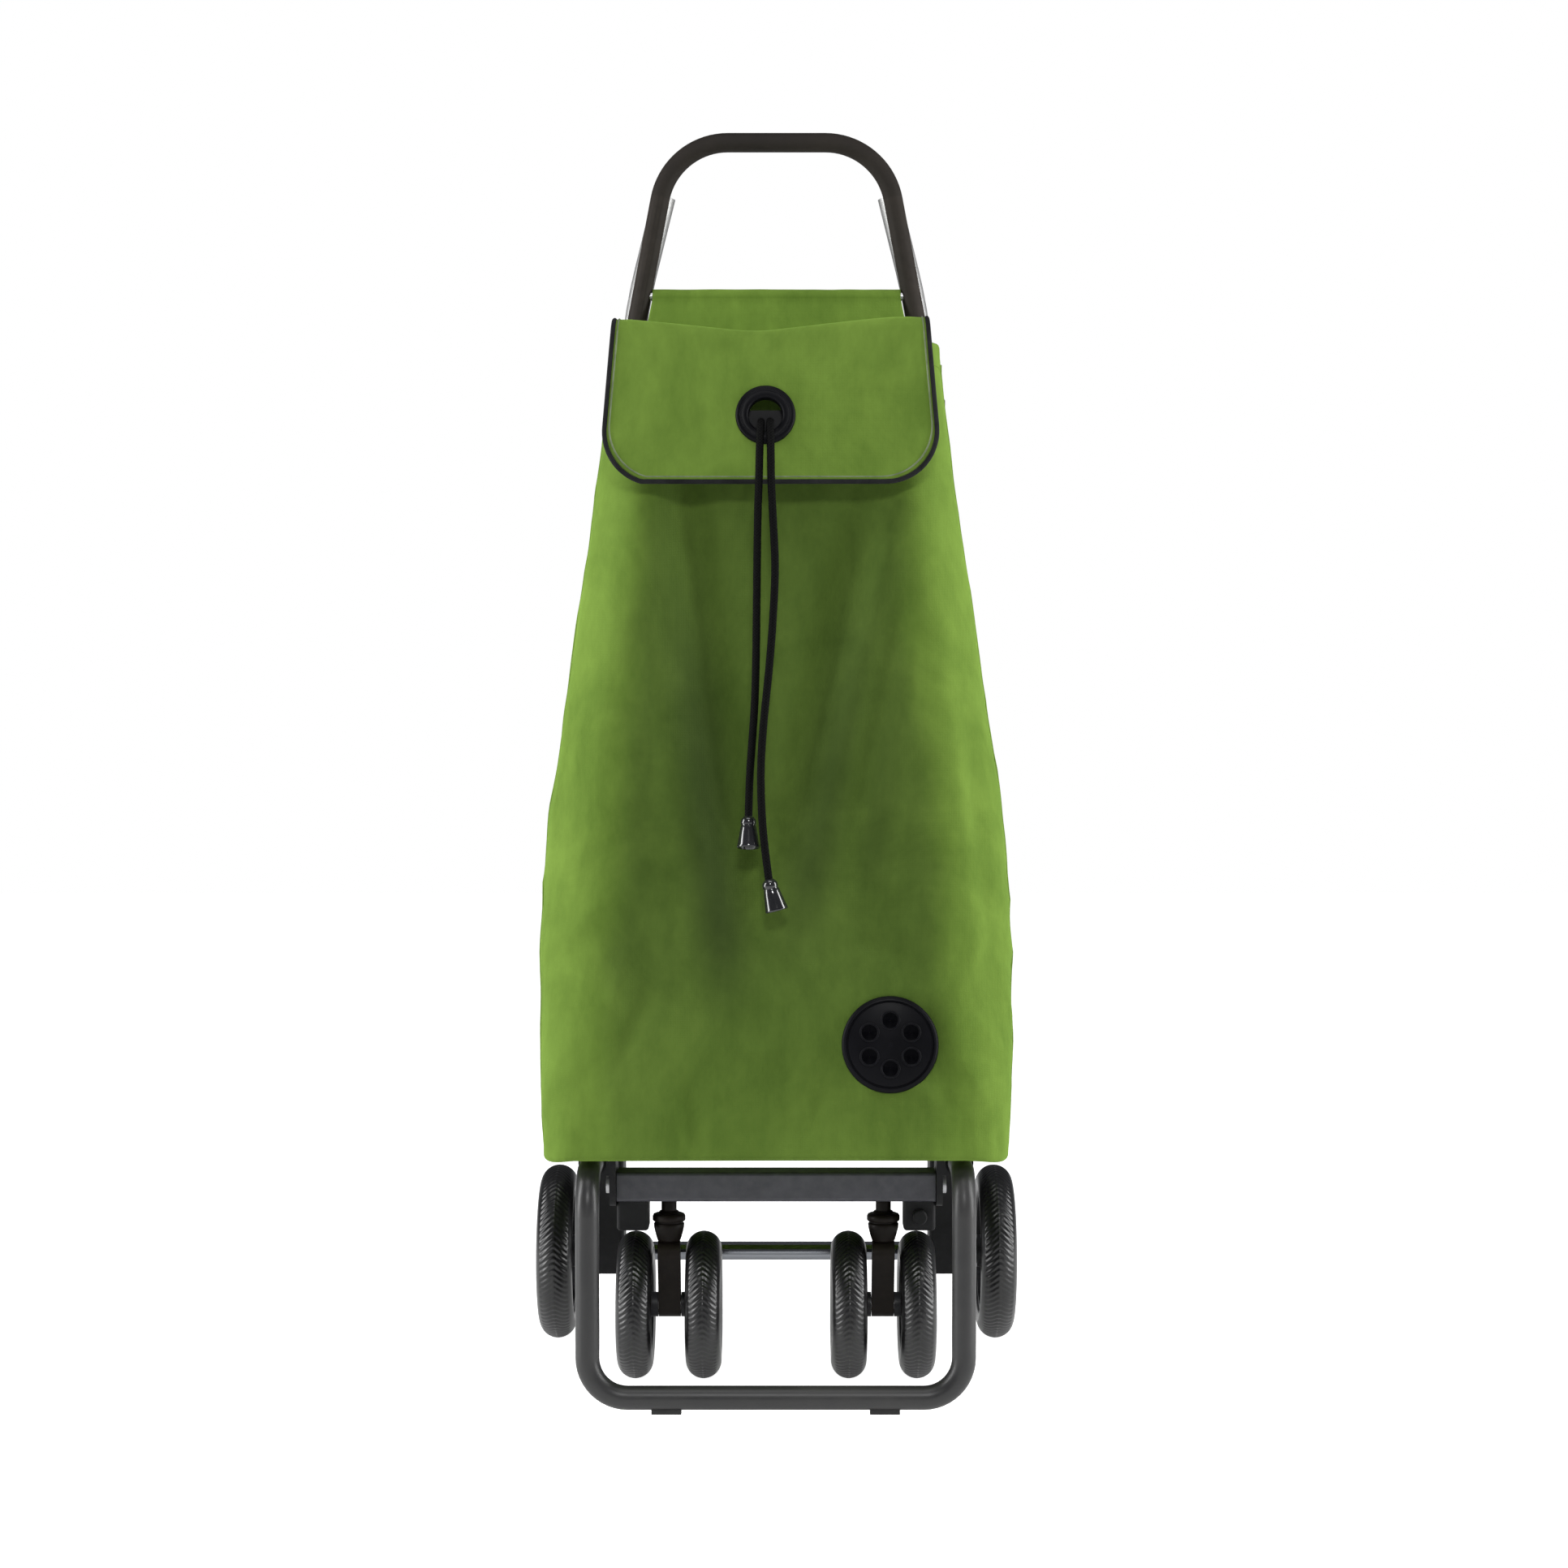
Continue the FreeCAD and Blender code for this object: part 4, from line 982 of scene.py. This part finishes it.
def build_sleeve():
    """One sheet folded over the hanger rod, whose two layers hang down to the bag's back."""
    low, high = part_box("hanger_sleeve")
    _, axis_y, axis_z = box_centre("hanger_rod")
    radius = high.z - axis_z
    half = high.x + SLEEVE_CLOTH
    spread = SLEEVE_FLARE * (axis_z - low.z)
    columns, arc, tail = 120, 22, 16
    seam_z = low.z - SLEEVE_TAIL
    ends = (Vector((0, low.y, seam_z)), Vector((0, low.y + 2 * SLEEVE_CLOTH + SLEEVE_GAP, seam_z)))
    verts = []
    for c in range(columns + 1):
        across = mix(-1, 1, c / columns)
        x = across * half
        ripple = 0.7 * MM * crinkle((x, 0.5, 0.1), 0.03, 4.4)
        loop = []
        for i in range(arc + 1):
            a = math.radians(mix(205, -35, i / arc))
            swell = radius + 0.35 * MM * crinkle((x, a * 0.01, 0.7), 0.02, 6.1)
            loop.append(Vector((x, axis_y + swell * math.cos(a), axis_z + swell * math.sin(a))))
        layers = []
        for foot, end in zip((loop[0], loop[-1]), ends):
            end = Vector((x + across * spread, end.y, end.z))
            layer = []
            for i in range(1, tail + 1):
                t = i / tail
                point = foot.lerp(end, t ** 0.85)
                point.y += ripple * math.sin(math.pi * t)
                layer.append(point)
            layers.append(layer)
        outer = layers[0][::-1] + loop + layers[1]
        inner = []
        for i, point in enumerate(outer):
            run = outer[min(i + 1, len(outer) - 1)] - outer[max(i - 1, 0)]
            inner.append(point + Vector((0, run.z, -run.y)).normalized() * SLEEVE_CLOTH)
        verts += outer + inner[::-1]
    size = len(verts) // (columns + 1)
    faces = ring_faces(columns + 1, size)
    for start in (0, len(verts) - size):
        for i in range(size // 2 - 1):
            faces.append((start + i, start + i + 1, start + size - 2 - i, start + size - 1 - i))
    sleeve = mesh_object("hanger_cloth", verts, faces, "Green microfibre")
    settle(sleeve, "root", "bag_fabric", "hanger_sleeve")
    seam_points = []
    for c in range(columns + 1):
        x = mix(low.x + 1 * MM, high.x - 1 * MM, c / columns)
        seam_points.append(Vector((x, axis_y - radius * 0.93, axis_z - 7.5 * MM)))
    seam = tube_along("hanger_stitching", seam_points, 0.4 * MM, 6, "Green microfibre")
    settle(seam, "root", "bag_fabric")


class TROLLEY_OT_sleeve(bpy.types.Operator):
    """Builds the fabric tunnel that hangs the bag from its rod"""
    bl_idname = "trolley.sleeve"
    bl_label = "Build hanger sleeve"

    def execute(self, context):
        build_sleeve()
        return {"FINISHED"}


# ---------------------------------------------------------------- tyres
TYRE_WALL = 22 * MM
STEPS_A_BLOCK = 6


def tread_mask(turns, across, slant):
    """1 in a groove and 0 on a block: slanted grooves that meet in a chevron."""
    phase = (turns + slant * abs(across)) % 1.0
    groove = 0.5 - 0.5 * math.cos(2 * math.pi * phase)
    inside = 1 - smooth(0.66, 0.8, abs(across))
    return groove * inside * smooth(0.0, 0.06, abs(across))


def build_tyre(cad_node, body, chevrons, slant, depth):
    low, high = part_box(cad_node)
    centre = (low + high) / 2
    half = (high.x - low.x) / 2
    outer = (high.z - low.z) / 2
    inner = outer - TYRE_WALL
    shoulder = outer - 0.9 * half
    sagitta = outer - shoulder
    crown_r = (half ** 2 + sagitta ** 2) / (2 * sagitta)
    profile = [(-0.80, inner), (-0.86, inner + 0.4 * MM), (-0.905, inner + 2.2 * MM)]
    profile += [(-0.955, mix(inner, shoulder, 0.55)), (-0.99, mix(inner, shoulder, 0.86))]
    crown = 40
    for i in range(crown + 1):
        x = -math.cos(math.pi * i / crown)
        height = math.sqrt(max(crown_r ** 2 - (x * half) ** 2, 0.0)) - (crown_r - sagitta)
        profile.append((x, shoulder + height))
    profile += [(-x, r) for x, r in reversed(profile[:5])]
    segments = chevrons * STEPS_A_BLOCK
    verts = []
    for n, (up, along_y) in enumerate(circle(segments)):
        for across, radius in profile:
            r = radius
            if radius > shoulder:
                r -= depth * tread_mask(n / segments * chevrons, across, slant)
            verts.append((centre.x + across * half, centre.y + r * along_y, centre.z + r * up))
    faces = ring_faces(segments, len(profile), closed_rows=True)
    tyre = mesh_object(cad_node + "_tread", verts, faces, "Tyre rubber")
    settle(tyre, body, "tyre", cad_node)


def build_stem(side):
    """A caster's stem with its flanged cup."""
    low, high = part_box(side + "_caster_stem")
    centre = (low + high) / 2
    top = (high.z - low.z) / MM
    rod = 6.2
    shape = in_metres(
        (0, 0.5), (0, 8.6), (0.8, 9.4), (2, 9.8), (6, 11.0), (11, 12.2), (14, 12.5), (14.8, 12.0),
        (15.2, 11.2), (16, 11.2), (16.4, 12.6), (17.2, 13.4), (20.5, 13.4), (22, 12.6), (22.8, 10.6),
        (23, 8.4), (24.6, 7.6), (25, rod), (top - 0.6, rod), (top, rod - 0.6), (top, 0.5))
    foot = (centre.x, centre.y, low.z)
    stem = lathe(side + "_stem_cup", shape, foot, (0, 0, 1), 48, "Yoke nylon")
    stem.data.set_sharp_from_angle(angle=math.radians(50))
    settle(stem, side + "_caster", "yoke_plastic", side + "_caster_stem")


class TROLLEY_OT_tyres(bpy.types.Operator):
    """Builds the treaded tyres and the casters' stems"""
    bl_idname = "trolley.tyres"
    bl_label = "Build tyres and stems"

    def execute(self, context):
        s = context.scene.trolley_wheels
        for side, _ in SIDES:
            build_tyre(side + "_rear_tyre", side + "_rear_wheel", s.rear_chevrons, s.slant, s.tread_depth)
            for place in ("outer", "inner"):
                stem = f"{side}_caster_{place}"
                build_tyre(stem + "_tyre", stem + "_wheel", s.caster_chevrons, s.slant, s.tread_depth)
            build_stem(side)
        return {"FINISHED"}


# ---------------------------------------------------------------- eyelet and vent
EYELET_BORE = 13.2 * MM
EYELET_RIM = 3.6 * MM
VENT_HOLES = 6
VENT_HOLE = 6.5 * MM
VENT_HOLE_RING = 18.5 * MM
# the vent's rim in millimetres: height over the cloth, and distance from the vent's edge
VENT_RIM = ((0.2, 0.6), (0.6, 0), (1.6, 0.2), (2.6, 1.2), (3.3, 2.6), (3.4, 3.4), (2.5, 4.0), (2.5, 4.6),
            (3.3, 5.1))


def facing_front(lean):
    """A unit vector out of a front that leans back."""
    return Vector((0, -math.cos(lean), math.sin(lean)))


def trim_piece(name, profile, at, facing, segments, body, *nodes):
    made = lathe(name, profile, at, facing, segments, "Satin trim")
    settle(made, body, "trim_plastic", *nodes)


def build_eyelet():
    """A rolled ring with a soft inner bevel, its barrel through the flap and a flange behind."""
    low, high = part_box("eyelet")
    centre = (low + high) / 2
    facing = facing_front(FLAP_LEAN)
    outer = (high.x - low.x) / 2
    bore = EYELET_BORE
    profile = []
    steps = 14
    for i in range(steps + 1):
        a = math.radians(180 * i / steps)
        radius = mix(outer, bore, (1 - math.cos(a)) / 2)
        profile.append((1.5 * MM + EYELET_RIM * math.sin(a) ** 0.7, radius))
    profile += [(-3.1 * MM, bore), (-3.1 * MM, bore + 5.5 * MM), (-1.7 * MM, bore + 6.6 * MM),
                (-1.6 * MM, bore + 1.5 * MM), (1.4 * MM, bore + 1.5 * MM), (1.4 * MM, outer - 0.3 * MM)]
    at = Vector((centre.x, FlapForm(bpy.context.scene.trolley_flap).skirt_y(centre.z), centre.z))
    trim_piece("eyelet_ring", profile, at, facing, 96, "flap", "eyelet")
    crest = 1.5 * MM + EYELET_RIM * 0.97
    middle = mix(outer, bore, 0.42)
    bead = [(crest + 0.45 * MM * y, middle + 0.9 * MM * x) for x, y in circle(12)]
    trim_piece("eyelet_bead", bead, at, facing, 96, "flap")


def cut_holes(piece, places, axis, radius, depth):
    """Takes round holes out of a piece."""
    mesh = bpy.data.meshes.new("cutters")
    work = bmesh.new()
    for at in places:
        bmesh.ops.create_cone(work, cap_ends=True, segments=40, radius1=radius, radius2=radius, depth=depth,
                              matrix=Matrix.Translation(at) @ turn_to(axis).to_4x4())
    work.to_mesh(mesh)
    work.free()
    cutter = placed("cutters", mesh)
    cut = piece.modifiers.new("holes", "BOOLEAN")
    cut.operation = "DIFFERENCE"
    cut.solver = "EXACT"
    cut.object = cutter
    bpy.context.view_layer.update()
    graph = bpy.context.evaluated_depsgraph_get()
    final = bpy.data.meshes.new_from_object(piece.evaluated_get(graph))
    material = piece.data.materials[0]
    piece.modifiers.clear()
    piece.data = final
    final.materials.clear()
    final.materials.append(material)
    bpy.data.objects.remove(cutter)
    final.polygons.foreach_set("use_smooth", [True] * len(final.polygons))


def build_vent():
    """A domed disc with a ring of holes, each with a raised lip and a well whose closed dark floor stands in
    as painted shade inside the hole.
    """
    low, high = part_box("vent_disc")
    form = BagForm(bpy.context.scene.trolley_fabric)
    x = (low.x + high.x) / 2
    z = (low.z + high.z) / 2 + 0.5 * MM
    lean = math.atan2(form.front(z + 10 * MM) - form.front(z - 10 * MM), 20 * MM)
    facing = facing_front(lean)
    radius = (high.x - low.x) / 2
    at = Vector((x, form.front(z), z))

    def dome(reach):
        """The dome's height at a distance from its middle."""
        return 2.2 * MM + 4.8 * MM * (1 - (reach / radius) ** 2)

    profile = [(height * MM, radius - inward * MM) for height, inward in VENT_RIM]
    steps = 16
    for i in range(1, steps + 1):
        reach = (radius - 5.1 * MM) * (1 - i / steps)
        profile.append((dome(reach), max(reach, 0.4 * MM)))
    profile.append((1.0 * MM, 0.4 * MM))
    disc = lathe("vent_dome", profile, at, facing, 128, "Satin trim")
    side = Vector((1, 0, 0))
    up = facing.cross(side).normalized()
    holes = []
    for n in range(VENT_HOLES):
        a = 2 * math.pi * (n + 0.5) / VENT_HOLES
        holes.append((side * math.cos(a) + up * math.sin(a)) * VENT_HOLE_RING)
    cut_holes(disc, [at + hole for hole in holes], facing, VENT_HOLE, 40 * MM)
    disc.data.set_sharp_from_angle(angle=math.radians(40))
    settle(disc, "root", "trim_plastic", "vent_disc")
    lip_radius = VENT_HOLE + 0.4 * MM
    wall_out = VENT_HOLE - 0.1 * MM
    wall_in = VENT_HOLE - 0.6 * MM
    for n, hole in enumerate(holes):
        rise = dome(hole.length)
        lip = [(rise + 0.5 * MM + 0.8 * MM * y, lip_radius + 0.8 * MM * x) for x, y in circle(12)]
        trim_piece(f"vent_lip_{n + 1}", lip, at + hole, facing, 48, "root")
        # each well's closed dark floor stands in as painted shade inside its hole
        top, floor, under = rise - 0.5 * MM, rise - 2.3 * MM, rise - 3.0 * MM
        well = [(under, wall_out), (top, wall_out), (top, wall_in), (floor, wall_in), (floor, 0.3 * MM),
                (under, 0.3 * MM)]
        trim_piece(f"vent_well_{n + 1}", well, at + hole, facing, 40, "root")


class TROLLEY_OT_trim(bpy.types.Operator):
    """Builds the eyelet in the flap and the vent disc in the bag's front"""
    bl_idname = "trolley.trim"
    bl_label = "Build eyelet and vent"

    def execute(self, context):
        build_eyelet()
        build_vent()
        return {"FINISHED"}


# ---------------------------------------------------------------- drawstring
# the middle of each cord from the lock down, and where its bell ends
CORD_ROUTES = {
    "left": (
        (-0.0115, -0.1324, 0.775), (-0.0115, -0.143, 0.7745), (-0.012, -0.151, 0.766),
        (-0.0125, -0.1535, 0.752), (-0.013, -0.156, 0.728), (-0.014, -0.159, 0.7), (-0.0146, -0.161, 0.65),
        (-0.015, -0.1625, 0.6), (-0.016, -0.164, 0.556), (-0.0186, -0.166, 0.521), (-0.0205, -0.169, 0.493),
        (-0.021, -0.172, 0.466),
    ),
    "right": (
        (-0.0045, -0.1324, 0.7755), (-0.0045, -0.1435, 0.775), (-0.0042, -0.1515, 0.7665),
        (-0.0038, -0.154, 0.752), (-0.0036, -0.1565, 0.727), (-0.0022, -0.1595, 0.7), (0.0, -0.162, 0.66),
        (-0.0022, -0.1635, 0.618), (-0.005, -0.165, 0.582), (-0.0095, -0.167, 0.54),
        (-0.0116, -0.1715, 0.508), (-0.0113, -0.177, 0.48), (-0.0093, -0.1825, 0.449),
        (-0.005, -0.1845, 0.418),
    ),
}
BELL_ENDS = {"left": (-0.021, -0.1765, 0.4435), "right": (0.001, -0.185, 0.3955)}
CORD_DIAMETER = 0.006


def build_bell(side):
    """A flared cord end with a rolled lip, a waist ring and a hollow mouth."""
    top = Vector(CORD_ROUTES[side][-1])
    run = Vector(BELL_ENDS[side]) - top
    profile = in_metres(
        (-2.0, 3.1), (-1.4, 3.9), (0.0, 5.2), (1.2, 5.9), (2.6, 6.1), (4.2, 6.1), (4.8, 5.7), (5.6, 5.7),
        (6.4, 6.2), (10.0, 6.8), (14.0, 7.5), (18.0, 8.2), (20.5, 8.7), (21.6, 9.0), (22.6, 8.9), (23.0, 8.4),
        (22.8, 7.7), (21.0, 7.3), (12.0, 5.6), (11.6, 1.0), (-2.0, 0.6))
    bell = lathe("bell_" + side, profile, top, run.normalized(), 64, "Bell gloss")
    return settle(bell, "root", "bell_plastic", "cord_end_" + side)


def build_cord(side):
    route = CORD_ROUTES[side]
    curve = bpy.data.curves.new("drawstring_" + side, "CURVE")
    curve.dimensions = "3D"
    spline = curve.splines.new("NURBS")
    spline.points.add(len(route) - 1)
    for point, at in zip(spline.points, route):
        point.co = (*at, 1.0)
    spline.order_u = 3
    spline.use_endpoint_u = True
    spline.resolution_u = 10
    curve.bevel_depth = CORD_DIAMETER / 2
    curve.bevel_resolution = 5
    curve.use_fill_caps = True
    curve.materials.append(bpy.data.materials["Braided cord"])
    cord = placed("drawstring_" + side, curve)
    settle(cord, "root", "cord", "cord_" + side)
    bell = build_bell(side)


class TROLLEY_OT_drawstring(bpy.types.Operator):
    """Builds the two hanging ends of the drawstring with their bells"""
    bl_idname = "trolley.drawstring"
    bl_label = "Build drawstring"

    def execute(self, context):
        for side, _ in SIDES:
            build_cord(side)
        return {"FINISHED"}


# ---------------------------------------------------------------- finishes and stage
# pieces whose look differs from that of their slot
# the cord lock gets the black moulding partly for its own colour and partly as painted shade, so the eyelet's
# hole looks black
OTHER_FINISHES = dict.fromkeys(("bar_end_blocks", "latch_knob", "handle_clamps", "hinge_brackets",
                                "left_axle_bracket", "right_axle_bracket", "cord_lock"), "dark_moulding")
OTHER_FINISHES["upright_plugs"] = "upright_metal"
CAMERA_SHIFT = 6.4 * MM
CAMERA_TILT = math.radians(1.673)


class TROLLEY_OT_finishes(bpy.types.Operator):
    """Makes every material and gives the CAD pieces theirs"""
    bl_idname = "trolley.finishes"
    bl_label = "Make finishes"

    def execute(self, context):
        made = finishes()
        for row in frame["record"]["subparts"]:
            finish = OTHER_FINISHES.get(row["node"], row["material_slot"])
            piece = frame["nodes"][row["node"]]
            piece.data.materials.clear()
            piece.data.materials.append(made[finish])
        return {"FINISHED"}


def area_light(name, place, target, size, power):
    light = bpy.data.lights.new(name, "AREA")
    light.shape = "RECTANGLE"
    light.size, light.size_y = size
    light.energy = power
    lamp = placed(name, light)
    lamp.location = place
    lamp.rotation_euler = (Vector(target) - Vector(place)).to_track_quat("-Z", "Y").to_euler()


def build_stage():
    s = bpy.context.scene.trolley_stage
    camera = bpy.data.cameras.new("Camera")
    camera.sensor_width = 36.0
    camera.lens = s.lens
    eye = placed("Camera", camera)
    _, axle_y, _ = box_centre("rear_axle")
    eye.location = (CAMERA_SHIFT, axle_y - s.camera_distance, s.camera_height)
    eye.rotation_euler = (math.pi / 2 - CAMERA_TILT, 0, 0)
    bpy.context.scene.camera = eye

    floor = mesh_object("floor", [(-6, -6, 0), (6, -6, 0), (6, 6, 0), (-6, 6, 0)], [(0, 1, 2, 3)])
    material, tree, shader = principled("Studio floor", 0.85)
    shader.inputs["Base Color"].default_value = (0.93, 0.93, 0.93, 1)
    shader.inputs["Emission Color"].default_value = (1, 1, 1, 1)
    rays = node(tree, "ShaderNodeLightPath").outputs
    seen = maths(tree, "MULTIPLY_ADD", rays["Is Glossy Ray"], 0.4, rays["Is Camera Ray"])
    tree.links.new(maths(tree, "MULTIPLY", seen, s.floor_glow), shader.inputs["Emission Strength"])
    floor.data.materials.append(material)

    world = bpy.data.worlds.new("Studio")
    world.use_nodes = True
    tree = world.node_tree
    fill = tree.nodes["Background"]
    fill.inputs["Color"].default_value = (0.94, 0.97, 1.0, 1)
    fill.inputs["Strength"].default_value = s.sky
    white = node(tree, "ShaderNodeBackground", {"Color": (1, 1, 1, 1), "Strength": 1.0})
    path = node(tree, "ShaderNodeLightPath")
    shaders = {0: path.outputs["Is Camera Ray"], 1: fill.outputs[0], 2: white.outputs[0]}
    seen = node(tree, "ShaderNodeMixShader", shaders).outputs[0]
    tree.links.new(seen, tree.nodes["World Output"].inputs["Surface"])
    bpy.context.scene.world = world
    bpy.context.scene.view_settings.view_transform = "Standard"

    area_light("Key", (-0.1, -0.75, 2.7), (0, -0.1, 0.6), (1.6, 1.0), s.key_power)
    area_light("Front", (0.1, -2.3, 1.75), (0, -0.1, 0.3), (0.45, 0.3), s.front_power)
    area_light("Left", (-1.9, -0.32, 0.85), (-0.1, -0.15, 0.55), (0.6, 1.9), s.side_power)
    area_light("Right", (1.9, -0.32, 0.85), (0.1, -0.15, 0.55), (0.6, 1.9), s.side_power)


class TROLLEY_OT_stage(bpy.types.Operator):
    """Sets the pale floor, the soft studio lights and the camera"""
    bl_idname = "trolley.stage"
    bl_label = "Set stage"

    def execute(self, context):
        build_stage()
        return {"FINISHED"}


class TROLLEY_PT_panel(bpy.types.Panel):
    """Lists the trolley's pieces and their settings"""
    bl_idname = "TROLLEY_PT_panel"
    bl_label = "Shopping trolley"
    bl_space_type = "VIEW_3D"
    bl_region_type = "UI"
    bl_category = "Trolley"

    def draw(self, context):
        for operator in OPERATORS:
            self.layout.operator(operator.bl_idname)
        for _, holder in SETTINGS:
            column = self.layout.column(align=True)
            settings = getattr(context.scene, holder)
            for name in settings.__annotations__:
                column.prop(settings, name)


OPERATORS = (TROLLEY_OT_stage, TROLLEY_OT_finishes, TROLLEY_OT_drawstring, TROLLEY_OT_bag, TROLLEY_OT_flap,
             TROLLEY_OT_sleeve, TROLLEY_OT_tyres, TROLLEY_OT_trim)
SETTINGS = ((TrolleyFabricSettings, "trolley_fabric"), (TrolleyFlapSettings, "trolley_flap"),
            (TrolleyWheelSettings, "trolley_wheels"), (TrolleyStageSettings, "trolley_stage"))


def register():
    for settings, holder in SETTINGS:
        bpy.utils.register_class(settings)
        setattr(bpy.types.Scene, holder, PointerProperty(type=settings))
    for operator in OPERATORS:
        bpy.utils.register_class(operator)
    bpy.utils.register_class(TROLLEY_PT_panel)


def unregister():
    bpy.utils.unregister_class(TROLLEY_PT_panel)
    for operator in reversed(OPERATORS):
        bpy.utils.unregister_class(operator)
    for settings, holder in reversed(SETTINGS):
        delattr(bpy.types.Scene, holder)
        bpy.utils.unregister_class(settings)


def main():
    register()
    bpy.ops.trolley.stage()
    bpy.ops.trolley.finishes()
    bpy.ops.trolley.drawstring()
    bpy.ops.trolley.bag()
    bpy.ops.trolley.flap()
    bpy.ops.trolley.sleeve()
    bpy.ops.trolley.tyres()
    bpy.ops.trolley.trim()


if __name__ == "__main__":
    main()
